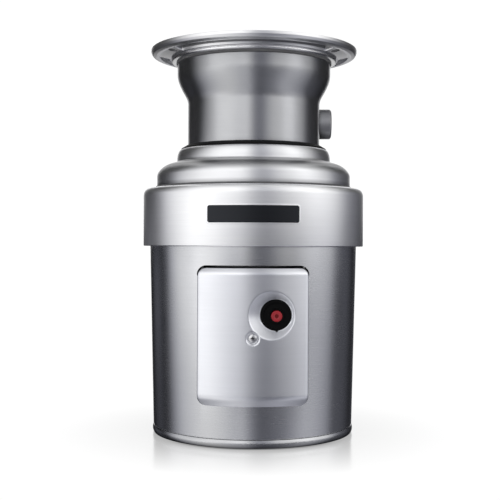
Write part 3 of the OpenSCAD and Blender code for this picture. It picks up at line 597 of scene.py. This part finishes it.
def make_gaskets():
    """Isolation ring under the neck, and a dark bead between band and cover that paints the shadow line at that joint.
    """
    tall = GASKET_Z1 - GASKET_Z0
    ring = lathe("isolation_ring", rounded([
        (SPIGOT_HOLE_R, GASKET_Z0, 0.2), (GASKET_R - 0.3 * MM, GASKET_Z0, 0.6),
        (GASKET_R, GASKET_Z0 + 0.27 * tall, 0.8), (GASKET_R - 3.1 * MM, GASKET_Z0 + 0.68 * tall, 1.5),
        (GASKET_R - 5.4 * MM, GASKET_Z1, 0.8), (SPIGOT_HOLE_R, GASKET_Z1, 0.2)]))
    install(ring, "housing", "black_rubber", "isolation_gasket")
    # Painted shade: a dark rubber bead stands for the shadow line between band and cover.
    top, edge = high("cover_seal").z, half_size("cover_seal")
    foot, hole = BAND_Z1 + 0.01 * MM, COVER_R + 0.06 * MM
    bead = lathe("cover_shadow_bead", rounded([
        (hole, foot, 0.2), (edge, foot, 0.2), (edge, top - 0.8 * MM, 0.5), (edge - 0.7 * MM, top, 0.6),
        (hole, top, 0.3)]))
    install(bead, "housing", "black_rubber", "cover_seal", look="seal_rubber")


# ---- covers of the housing ----

def bulged(cx, cz, w, h, power, steps):
    """Quarter of a rounded corner, from (cx + w, cz) to (cx, cz + h)."""
    points = []
    for k in range(steps + 1):
        t = 1 - (1 - k / steps) ** 1.6
        points.append((cx + w * max(0, 1 - t ** power) ** (1 / power), cz + h * t))
    return points


def cover_curve(t):
    """Upper cover's curve, drawn in by the wall t: a round shoulder, a hollow, and a crown."""
    shoulder_z, fillet_r, crown_r, crown_w, crown_z = 263.7 * MM, 3.2 * MM, 75.5 * MM, 4.3 * MM, 280.2 * MM
    fillet_x = crown_r + crown_w + fillet_r
    return (bulged(fillet_x, shoulder_z, COVER_R - fillet_x - t, crown_z - fillet_r - shoulder_z - t, 1.68, 22)
            + arc(fillet_x, crown_z, fillet_r + t, 270, 180, 10)[1:-1]
            + bulged(crown_r, crown_z, crown_w - t, GASKET_Z0 - crown_z - t, 2, 16))


def make_upper_cover():
    loop = [(COVER_R, COVER_Z0), (COVER_R, BAND_Z1)] + cover_curve(0)
    loop += [(SPIGOT_HOLE_R, GASKET_Z0), (SPIGOT_HOLE_R, GASKET_Z0 - SHEET)] + cover_curve(SHEET)[::-1]
    loop += [(COVER_R - SHEET, COVER_Z0)]
    install(lathe("upper_cover_dome", loop, sharp=50), "housing", "cover_steel", "upper_cover")


def make_band():
    lip, hole = SHELL_R1 + 0.2 * MM, COVER_R + 0.3 * MM
    round_w, round_h = 7 * MM, 8.5 * MM
    corner = (BAND_R - round_w, BAND_Z1 - round_h)
    loop = rounded([(lip, BAND_Z0, 0.3), (BAND_R, BAND_Z0, 1.0), (BAND_R, BAND_Z1 - 12 * MM)])
    loop += bulged(*corner, round_w, round_h, 2.3, 18)
    loop += rounded([(hole + 1 * MM, BAND_Z1), (hole, BAND_Z1, 0.4), (hole, BAND_Z1 - SHEET, 0.3)])
    loop += bulged(*corner, round_w - SHEET, round_h - SHEET, 2.3, 12)[::-1]
    loop += [(BAND_R - SHEET, BAND_Z0 + SHEET), (lip, BAND_Z0 + SHEET)]
    band = lathe("centre_band_shell", loop, sharp=40)
    carve(band, rod_cutter(20.55 * MM, (0, 60 * MM, TUBE_Z), (0, 140 * MM, TUBE_Z), 96), sharp=40)
    install(band, "housing", "band_steel", "centre_band")


def curved_plate(name, width, z0, z1, corner_r, r0, r1, edge):
    """Rounded rectangle bent round the axis at the front, from radius r0 to r1, its outer edge rounded by edge."""
    layers = [(0, r0), (0, r1 - edge)] + arc(edge, r1 - edge, edge, 180, 90, 5)[1:]
    layers += [(edge + ((z1 - z0) / 2 - edge) * share, r1) for share in (0.2, 0.45, 0.8)]
    outlines = []
    for shrink, r in layers:
        outline = plate_outline(width, z0, z1, corner_r, shrink)
        outlines.append([(r * math.sin(x / r1), -r * math.cos(x / r1), z) for x, z in outline])
    bm = bmesh.new()
    rings = skin(bm, outlines)
    fill_strip(bm, rings[-1])
    fill_strip(bm, rings[0])
    return new_object(name, bm, 40)


def fill_strip(bm, ring):
    """Closes a ring whose upper half mirrors its lower half with upright strips, so that it keeps its bend."""
    n = len(ring)
    for k in range(n // 2 - 1):
        bm.faces.new((ring[k], ring[k + 1], ring[n - 2 - k], ring[n - 1 - k]))


def plate_outline(width, z0, z1, r, shrink):
    """Rounded rectangle drawn in by shrink, with many points along its long sides, from the right side up."""
    cells, steps = 24, 8
    w, h, r = width / 2 - shrink, (z1 - z0) / 2 - shrink, max(0.2 * MM, r - shrink)
    top = arc(w - r, h - r, r, 0, 90, steps)
    straight = [((w - r) * (1 - 2 * k / cells), h) for k in range(1, cells)]
    upper = top + straight + [(-x, z) for x, z in reversed(top)]
    return [(x, (z0 + z1) / 2 + z) for x, z in upper + [(x, -z) for x, z in reversed(upper)]]


def make_badge():
    """Blank badge: a dark field inside a narrow bright border."""
    lo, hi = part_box("badge_plate")
    r0, r1 = BAND_R + 0.01 * MM, -lo.y
    width, inset = (hi.x - lo.x) - 0.2 * MM, 1.3 * MM
    border = curved_plate("badge_border", width, lo.z, hi.z, 3.4 * MM, r0, r1 - 0.15 * MM, 0.3 * MM)
    install(border, "housing", "badge_metal", "badge_plate", look="band_steel")
    field = curved_plate("badge_field", width - 2 * inset, lo.z + inset, hi.z - inset, 2.2 * MM, r0, r1, 0.2 * MM)
    install(field, "housing", "badge_metal", look="badge_field")


def make_shell():
    """Tapered shell with a window behind the terminal cover, and a gap round the cover's upper corners."""
    wall = 1 * MM
    loop = rounded([(SHELL_R0, SHELL_Z0, 0.3), (SHELL_R1, BAND_Z0), (SHELL_R1, SHELL_Z1), (SHELL_R1 - wall, SHELL_Z1),
                    (SHELL_R1 - wall, BAND_Z0), (SHELL_R0 - wall, SHELL_Z0)])
    shell = lathe("lower_shell_sheet", loop, 360)
    top = PANEL_HIGH.z + 2.2 * MM
    window = rounded_rect(98 * MM, 45 * MM, top - 10 * MM, 4 * MM)
    head = []
    for k in range(25):
        a = math.radians(90 * k / 24)
        reach = CORNER_R + 0.1 * MM + 2.1 * MM * math.sin(a) ** 0.6
        head.append((PANEL_HALF_W - CORNER_R + reach * math.cos(a), PANEL_HIGH.z - CORNER_R + reach * math.sin(a)))
    head += [(-x, z) for x, z in reversed(head)]
    head += [(side * (PANEL_HALF_W + 0.1 * MM), top - 26 * MM) for side in (-1, 1)]
    carve(shell, prism_cutter(window, -0.13, -0.06), prism_cutter(head, -0.13, -0.06))
    install(shell, "housing", "shell_steel", "lower_shell")


def make_pan():
    """Bottom pan: a rolled rim, a spigot inside the shell, and a floor with vent holes and the conduit hole."""
    spigot = SHELL_R0 - 1.2 * MM
    floor_z, floor_t = 3 * MM, 1.5 * MM
    floor_r = 20 * MM
    roll_r, roll_z = 7.5 * MM, 4.3 * MM
    roll = []
    for k in range(19):
        z = 0.35 * MM + 7.5 * MM * k / 18
        roll.append((PAN_R - roll_r + math.sqrt(roll_r ** 2 - (z - roll_z) ** 2), z))
    loop = rounded([
        (0.0, floor_z), (floor_r, floor_z), (97.2 * MM, floor_z, 1.5), (99.5 * MM, 0, 1.2), (PAN_R - 1.5 * MM, 0, 0.5),
    ] + roll + [
        (102.3 * MM, 8.05 * MM, 0.2), (spigot, 8.3 * MM, 0.3), (spigot, 20 * MM, 0.4),
        (spigot - SHEET, 20 * MM, 0.4), (spigot - SHEET, 9 * MM, 2), (97.5 * MM, floor_z + floor_t, 2),
        (floor_r, floor_z + floor_t), (0.0, floor_z + floor_t)])
    pan = lathe("bottom_pan_pressing", loop)
    holes = [rod_cutter(11.1 * MM, (0, -82 * MM, -0.01), (0, -82 * MM, 0.01), 64)]
    for k in range(12):
        a = math.radians(30 * k + 15)
        x, y = 34 * MM * math.cos(a), 34 * MM * math.sin(a)
        holes.append(rod_cutter(3 * MM, (x, y, -0.01), (x, y, 0.01), 24))
    carve(pan, *holes)
    install(pan, "housing", "pan_steel", "bottom_pan")


# ---- terminal cover ----

DISH_X = middle("overload_protector", "x")
DISH_Z = middle("overload_protector", "z")
DISH_STRETCH = 1.058
DISH_FLOOR_R = 15.8 * MM
DISH_FLOOR_Y = low("overload_protector").y - 1.3 * MM
DISH_EDGE_R = 23.2 * MM
HOLE_R = 15 * MM
SCREW_Z = middle("cover_screw", "z")
DIMPLE_Y = -108 * MM
DIMPLE_R, DIMPLE_SLOPE = 4.7 * MM, 1.15
FACE_R = 110.3 * MM
LOW_END_R, LOW_SLOPE = 103.9 * MM, 6.4 / 8.6
HIGH_END_R, HIGH_SLOPE = 106.9 * MM, 3.4 / 4.7
CORNER_R = 8.5 * MM


def soft_min(a, b, k):
    h = max(k - abs(a - b), 0) / k
    return min(a, b) - h * h * h * k / 6


def soft_max(a, b, k):
    return -soft_min(-a, -b, k)


def edge_distance(x, z):
    """Distance from (x, z) inwards to the outline of the cover."""
    qx = abs(x) - PANEL_HALF_W + CORNER_R
    qz = abs(z - PANEL_Z) - PANEL_HALF_H + CORNER_R
    return CORNER_R - math.hypot(max(qx, 0), max(qz, 0)) - min(max(qx, qz), 0)


def panel_y(x, z):
    """Height field of the pressed cover: a bent face with sloped ends, a dish and a screw dimple."""
    r = soft_min(FACE_R, LOW_END_R + (z - PANEL_LOW.z) * LOW_SLOPE, 2.6 * MM)
    r = soft_min(r, HIGH_END_R + (PANEL_HIGH.z - z) * HIGH_SLOPE, 2.0 * MM)
    y = -math.sqrt(max(r * r - x * x, 1e-9))
    inset = edge_distance(x, z)
    bend, side_w = 0.8 * MM, 3 * MM
    if inset < bend:
        y += bend - math.sqrt(max(0, bend * bend - (bend - max(inset, 0)) ** 2))
    side = abs(x) - (PANEL_HALF_W - side_w)
    if side > 0:
        y += 0.5 * MM * (side / side_w) ** 2
    dish = DISH_FLOOR_Y - max(0, math.hypot(x - DISH_X, (z - DISH_Z) * DISH_STRETCH) - DISH_FLOOR_R)
    dimple = DIMPLE_Y - max(0, math.hypot(x, z - SCREW_Z) - DIMPLE_R) * DIMPLE_SLOPE
    return soft_max(soft_max(y, dish, 1.2 * MM), dimple, 1.1 * MM)


def panel_normal(x, z):
    d = 0.12 * MM
    gx = (panel_y(x + d, z) - panel_y(x - d, z)) / (2 * d)
    gz = (panel_y(x, z + d) - panel_y(x, z - d)) / (2 * d)
    return Vector((gx, -1, gz)).normalized()


def outline_reach(c, s):
    """How far the cover reaches from the centre of the dish in the direction (c, s)."""
    inner, outer = 0.0, 200 * MM
    for _ in range(40):
        centre = (inner + outer) / 2
        if edge_distance(DISH_X + centre * c, DISH_Z + centre * s) > 0:
            inner = centre
        else:
            outer = centre
    return inner


def panel_radii(c, s):
    """Distances from the centre of the dish in the direction (c, s), from the hole to the cover's edge."""
    notch_half = notch_depth = 1.5 * MM
    hole = HOLE_R
    if s < 0:
        hole += notch_depth * max(0, 1 - abs(HOLE_R * c - 1.0 * MM) / notch_half)
    reach = outline_reach(c, s) - 1e-6
    near = min(42 * MM, DISH_EDGE_R + (reach - DISH_EDGE_R) * 0.6)
    edge = reach - 2.6 * MM
    radii = [hole + (DISH_EDGE_R - hole) * k / 14 for k in range(15)]
    radii += [DISH_EDGE_R + (near - DISH_EDGE_R) * k / 30 for k in range(1, 31)]
    radii += [near + (edge - near) * k / 34 for k in range(1, 35)]
    return radii + [edge + (reach - edge) * (1 - (1 - k / 14) ** 1.7) for k in range(1, 15)]


def make_panel():
    """Pressed terminal cover. Each ray from the dish gives a loop: the face, the rim, and back along the inside."""
    segments, rim_cells = 480, 16
    loops, normals = [], []
    for i in range(segments):
        c, s = math.cos(TAU * i / segments), math.sin(TAU * i / segments)
        column = [(DISH_X + r * c, DISH_Z + r * s) for r in panel_radii(c, s)]
        face = [Vector((x, panel_y(x, z), z)) for x, z in column]
        normal = [panel_normal(x, z) for x, z in column]
        x, y, z = face[-1]
        shell = SHELL_R0 + (z - SHELL_Z0) * (SHELL_R1 - SHELL_R0) / (BAND_Z0 - SHELL_Z0) - 0.1 * MM
        rim = Vector((x, max(y + 0.1 * MM, -math.sqrt(shell ** 2 - x ** 2)), z))
        pull = Vector((x, 0, z - PANEL_Z)).normalized() * SHEET
        inside = [p - across * SHEET for p, across in zip(face, normal)][:-rim_cells]
        loops.append(face + [rim, rim - pull] + inside[::-1])
        normals.append(normal)
    bm = bmesh.new()
    skin(bm, loops, closed=True)
    cover = new_object("terminal_cover_pressing", bm, 35)
    split = []
    for polygon in cover.data.polygons:
        spots = [divmod(v, len(loops[0])) for v in polygon.vertices]
        on_face = all(k < len(normals[0]) for _, k in spots)
        split += [normals[i][k] if on_face else Vector((0, 0, 0)) for i, k in spots]
    cover.data.normals_split_custom_set(split)
    install(cover, "housing", "panel_steel", "terminal_cover")


def make_cover_screw():
    """Screw in the dimple: a low domed head with a cross recess, darkened in its middle by a black pit of painted
    shade.
    """
    head_y = DIMPLE_Y - 0.1 * MM
    place = along_y(0, SCREW_Z, head_y)
    shank_r, shank_end = 2.1 * MM, -20 * MM
    loop = rounded([(0.0, 1.5 * MM), (2.2 * MM, 1.35 * MM, 2), (3.9 * MM, 0.8 * MM, 1.5), (4.3 * MM, 0, 0.2),
                    (shank_r, 0), (shank_r, shank_end, 0.4), (0.0, shank_end)])
    screw = lathe("cover_screw_head", loop, 96, place)
    carve(screw, *[
        prism_cutter(rounded_rect(w, SCREW_Z - h / 2, SCREW_Z + h / 2, 0.3 * MM, 4), head_y - 4 * MM, head_y + 0.6 * MM)
        for w, h in ((1.1 * MM, 3.6 * MM), (3.6 * MM, 1.1 * MM))])
    install(screw, "housing", "screw_steel", "cover_screw")
    # Painted shade: a black pit in the middle of the cross recess.
    pit = [(0.0, 0.75 * MM), (1.5 * MM, 0.75 * MM), (1.5 * MM, -0.3 * MM), (0.0, -0.3 * MM)]
    install(lathe("cover_screw_recess_shade", pit, 32, place), "housing", "screw_steel", look="recess_painted_shade")


# ---- reset button and protector ----

def make_button():
    """Red cap, with its sides and its sunk centre in a darker red that is painted shade."""
    r, face, back = BUTTON_R, -BUTTON_LOW.y, -BUTTON_HIGH.y
    cap_back, stem_r = face - 9 * MM, 2 * MM
    place = along_y(BUTTON_X, BUTTON_Z)
    loop = rounded([(0.0, face - 0.9 * MM), (2.0 * MM, face - 0.8 * MM, 0.6), (2.9 * MM, face - 0.1 * MM, 0.5),
                    (r - 0.3 * MM, face, 0.8), (r, face - 1.6 * MM), (r, cap_back, 0.3), (stem_r, cap_back),
                    (stem_r, back), (0.0, back)])
    button = lathe("reset_button_cap", loop, 96, place, sharp=60)
    install(button, "button", "red_plastic", "reset_button")
    # Painted shade: the cap's sides and the disc in its sunk centre take the darker red_painted_shade.
    button.data.materials.append(MATERIALS["red_painted_shade"])
    for polygon in button.data.polygons:
        if polygon.center.y > -face + 1.2 * MM:
            polygon.material_index = 1
    centre = lathe("reset_button_shaded_centre", [(0.0, face - 0.84 * MM), (1.9 * MM, face - 0.78 * MM),
                                           (1.9 * MM, face - 1.3 * MM), (0.0, face - 1.3 * MM)], 48, place)
    install(centre, "button", "red_plastic", look="red_painted_shade")
    button.visible_glossy = False
    centre.visible_glossy = False


def make_spring():
    """Coil behind the button, squeezed between the button and the floor of the protector's bore."""
    lo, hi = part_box("reset_spring")
    cx, cz = (lo.x + hi.x) / 2, (lo.z + hi.z) / 2
    wire = 0.45 * MM
    coil = (hi.x - lo.x) / 2 - wire
    turns, steps, sides = 4, 32, 12
    outlines = []
    for i in range(turns * steps + 1):
        a = TAU * i / steps
        t = i / (turns * steps)
        y = lo.y + wire + (hi.y - lo.y - 2 * wire) * (t + ease(t)) / 2
        outlines.append([(cx + r * math.cos(a), y + dy, cz + r * math.sin(a))
                         for r, dy in arc(coil, 0, wire, 0, 360, sides)[:-1]])
    bm = bmesh.new()
    rings = skin(bm, outlines)
    bm.faces.new(rings[0])
    bm.faces.new(rings[-1])
    spring = new_object("reset_spring_coil", bm)
    spring.data.materials.append(MATERIALS["spring_steel"])
    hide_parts("reset_spring")
    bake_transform(spring)


def make_protector():
    """Front of the overload protector: a stepped black face with a collar round the button."""
    lo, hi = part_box("overload_protector")
    face, back = -lo.y, -hi.y
    bore = BUTTON_R + 0.3 * MM
    bore_end, hole_r = face - 15 * MM, 0.5 * MM
    step_z, rim_z, rim_r, barrel_r = face - 1.2 * MM, face - 0.1 * MM, 15.8 * MM, 13.8 * MM
    body = lathe("protector_body", rounded([
        (hole_r, bore_end), (bore, bore_end), (bore, face - 0.6 * MM, 0.5), (bore + 1.4 * MM, face - 0.2 * MM, 0.5),
        (bore + 1.9 * MM, step_z, 0.4), (12.2 * MM, step_z, 0.4), (12.8 * MM, rim_z, 0.4), (rim_r, rim_z, 0.6),
        (rim_r, face - 4 * MM, 0.3), (barrel_r, face - 4 * MM), (barrel_r, back), (hole_r, back),
    ]), 128, along_y(BUTTON_X, BUTTON_Z))
    install(body, "housing", "black_plastic", "overload_protector")


def paint_nodes():
    """Gives every CAD node that stays its own material."""
    slot_of = {part["node"]: part["material_slot"] for part in frame["record"]["subparts"]}
    for name, obj in frame["nodes"].items():
        if obj.hide_render:
            continue
        material = MATERIALS["seal_rubber" if name == "flange_gasket" else slot_of[name]]
        if not obj.material_slots:
            obj.data.materials.append(material)
        for place in obj.material_slots:
            place.material = material


# ---- studio ----

STUDIO_LEVEL = 4.0
UNDER_LEVEL = 0.65
DARK_TINT = 0.24

# Light levels round the object at the bearings ANGLES, in degrees from the front to the right.
ANGLES = (-180, -168, -152, -140, -130, -120, -110, -100, -88, -75, -60, -45, -32, -20, -12, -5,
          2, 9, 16, 24, 34, 46, 58, 70, 82, 94, 104, 114, 126, 145, 165, 180)
BASE_RING = (
    0.250, 0.010, 0.010, 0.058, 0.074, 0.015, 0.040, 0.354, 0.697, 0.844, 1.018, 1.012, 0.896, 0.699, 0.801, 0.459,
    0.217, 0.134, 0.145, 0.196, 0.230, 0.403, 0.646, 0.651, 0.538, 0.374, 0.090, 0.116, 0.096, 0.019, 0.053, 0.250)
LOW_RING = (
    0.250, 0.010, 0.010, 0.109, 0.119, 0.021, 0.068, 0.610, 1.078, 1.372, 1.789, 1.380, 0.775, 0.338, 0.202, 0.064,
    0.010, 0.010, 0.010, 0.016, 0.032, 0.055, 0.195, 0.478, 0.600, 0.419, 0.067, 0.063, 0.105, 0.010, 0.067, 0.250)
HIGH_RING = (
    0.250, 0.010, 0.010, 0.010, 0.010, 0.020, 0.152, 0.724, 0.937, 0.927, 1.163, 1.285, 1.310, 1.336, 1.499, 0.976,
    0.390, 0.373, 0.393, 0.765, 1.090, 1.110, 1.478, 1.427, 1.103, 1.043, 0.449, 0.176, 0.099, 0.015, 0.015, 0.250)
# The share of the rings that is left at each height of the reflected direction.
HEIGHTS = [(-1, 0.80), (-0.7, 0.90), (-0.35, 0.85), (-0.17, 0.76), (0.0, 0.97), (0.1, 1.0), (0.3, 1.0), (0.5, 0.95),
           (0.7, 0.85), (0.9, 0.6)]


def make_world():
    """White backdrop, and for reflections three rings of light at different heights, a white strip behind,
    and a dim patch that the underside of the sink flange reflects."""
    world = bpy.data.worlds.new("studio")
    bpy.context.scene.world = world
    n = Nodes(world)
    n.tree.nodes.clear()

    def ramp(source, levels, tint=0.0):
        node = n.add("ShaderNodeValToRGB", {0: source})
        elements = node.color_ramp.elements
        while len(elements) < len(levels):
            elements.new(0.5)
        for element, (position, level) in zip(elements, levels):
            element.position = position
            cool = tint * (1 - min(1, level * STUDIO_LEVEL))
            element.color = (level * (1 - 0.45 * cool), level * (1 - 0.35 * cool), level * (1 + 0.45 * cool), 1)
        return node.outputs["Color"]

    def window(source, start, end, fall_start, fall_end):
        return n.math("MULTIPLY", n.step(source, start, end), n.step(source, fall_start, fall_end))

    def even(level):
        return (level / STUDIO_LEVEL,) * 3 + (1,)

    place = n.split(n.coords("Generated"))
    x, y, z = place["X"], place["Y"], place["Z"]
    azimuth = n.math("ARCTAN2", x, n.math("MULTIPLY", y, -1.0))
    folded = n.math("ARCTAN2", x, n.math("ABSOLUTE", y))
    bearing = n.add("ShaderNodeMix", {"Factor": n.step(z, 0.35, 0.60), 2: azimuth, 3: folded}, data_type="FLOAT")
    turn = n.math("ADD", n.math("DIVIDE", bearing.outputs[0], TAU), 0.5)
    base, lower, upper = [
        ramp(turn, [(angle / 360 + 0.5, level / STUDIO_LEVEL) for angle, level in zip(ANGLES, ring)], DARK_TINT)
        for ring in (BASE_RING, LOW_RING, HIGH_RING)]
    light = n.mix(n.step(z, -0.02, 0.02), n.mix(n.step(z, -0.21, -0.12), base, lower), upper)
    height = ramp(n.math("MULTIPLY_ADD", z, 0.5, 0.5), [((at + 1) / 2, share) for at, share in HEIGHTS])
    light = n.mix(1.0, light, height, "MULTIPLY")
    back = n.math("ABSOLUTE", azimuth)
    behind = n.math("MULTIPLY", n.step(back, math.radians(150), math.radians(166)), n.step(z, 0.0, 0.015))
    light = n.mix(behind, light, even(1))
    across = window(back, math.radians(164), math.radians(170), math.radians(179.5), math.radians(174))
    below = window(z, -0.45, -0.32, 0.0, -0.06)
    light = n.mix(n.math("MULTIPLY", across, below), light, even(UNDER_LEVEL))
    studio = n.add("ShaderNodeBackground", {"Color": light, "Strength": STUDIO_LEVEL}).outputs[0]
    backdrop = n.add("ShaderNodeBackground", {"Color": (1, 1, 1, 1), "Strength": 1.05}).outputs[0]
    seen = n.add("ShaderNodeLightPath").outputs["Is Camera Ray"]
    n.add("ShaderNodeOutputWorld", {"Surface": n.mix_shader(seen, studio, backdrop)})


def make_floor():
    """White floor with a short soft reflection and a contact shadow in front, clear from below."""
    bm = bmesh.new()
    bmesh.ops.create_circle(bm, cap_ends=True, radius=12, segments=96)
    floor = new_object("floor", bm)
    floor.location.z = -0.2 * MM
    n = new_material("floor_pale")
    n.tree.nodes.remove(n.shader)
    coords = n.coords()
    distance = n.vector("LENGTH", n.vector("MULTIPLY", coords, (1, 1, 0)))
    forward = n.math("DIVIDE", n.split(coords)["Y"], distance)
    shade = n.remap(n.math("MULTIPLY", forward, -1.0), 0.6, 1.0, 0.0, 1.0)
    gap = n.remap(distance, PAN_R - 1 * MM, PAN_R + 3.5 * MM, 0.70, 0.0)
    white = n.add("ShaderNodeEmission", {"Strength": n.math("SUBTRACT", 1.02, n.math("MULTIPLY", gap, shade))})
    shine = n.add("ShaderNodeBsdfGlossy", {"Roughness": 0.16})
    top = n.mix_shader(n.remap(distance, 0.1, 0.215, 0.58, 0.0), white.outputs[0], shine.outputs[0])
    backfacing = n.add("ShaderNodeNewGeometry").outputs["Backfacing"]
    n.surface(n.mix_shader(backfacing, top, n.add("ShaderNodeBsdfTransparent").outputs[0]))
    floor.data.materials.append(n.owner)
    floor.visible_glossy = False


def make_cards():
    """Dark cards at both sides of the neck, which shade its edges and fade out towards the front."""
    for name, side, clear_y, dark_y in (("card_left", -1, -0.17, 0.02), ("card_right", 1, -0.16, 0.10)):
        n = new_material(name + "_dark")
        n.finish({"Base Color": (0.03, 0.03, 0.03, 1), "Roughness": 0.9})
        fade = n.remap(n.split(n.coords())["Y"], clear_y, dark_y, 0.0, 1.0)
        n.surface(n.mix_shader(fade, n.add("ShaderNodeBsdfTransparent").outputs[0], n.shader.outputs[0]))
        bm = bmesh.new()
        x = side * 0.30
        corners = [(x, -0.18, 0.300), (x, 0.30, 0.300), (x, 0.30, 0.62), (x, -0.18, 0.62)]
        bm.faces.new([bm.verts.new(p) for p in corners])
        board = new_object(name, bm)
        board.data.materials.append(n.owner)
        board.visible_camera = False
        board.visible_shadow = False


def make_camera():
    data = bpy.data.cameras.new("camera")
    data.sensor_width = 36
    data.lens = 71.0
    data.shift_x = -0.0064
    data.shift_y = -0.0104
    data.clip_start = 0.05
    data.clip_end = 60
    data.dof.use_dof = False
    camera = bpy.data.objects.new("camera", data)
    camera.location = (0, -1.034, 0.193)
    camera.rotation_euler = (math.radians(90), math.radians(-0.245), 0)
    bpy.context.scene.collection.objects.link(camera)
    bpy.context.scene.camera = camera


def make_studio():
    make_camera()
    make_world()
    make_floor()
    make_cards()
    view = bpy.context.scene.view_settings
    view.view_transform = "Standard"
    view.look = "None"


make_studio()
MATERIALS = make_materials()
make_flange()
make_neck()
make_inlet()
make_gaskets()
make_upper_cover()
make_band()
make_badge()
make_shell()
make_pan()
make_panel()
make_cover_screw()
make_button()
make_spring()
make_protector()
paint_nodes()
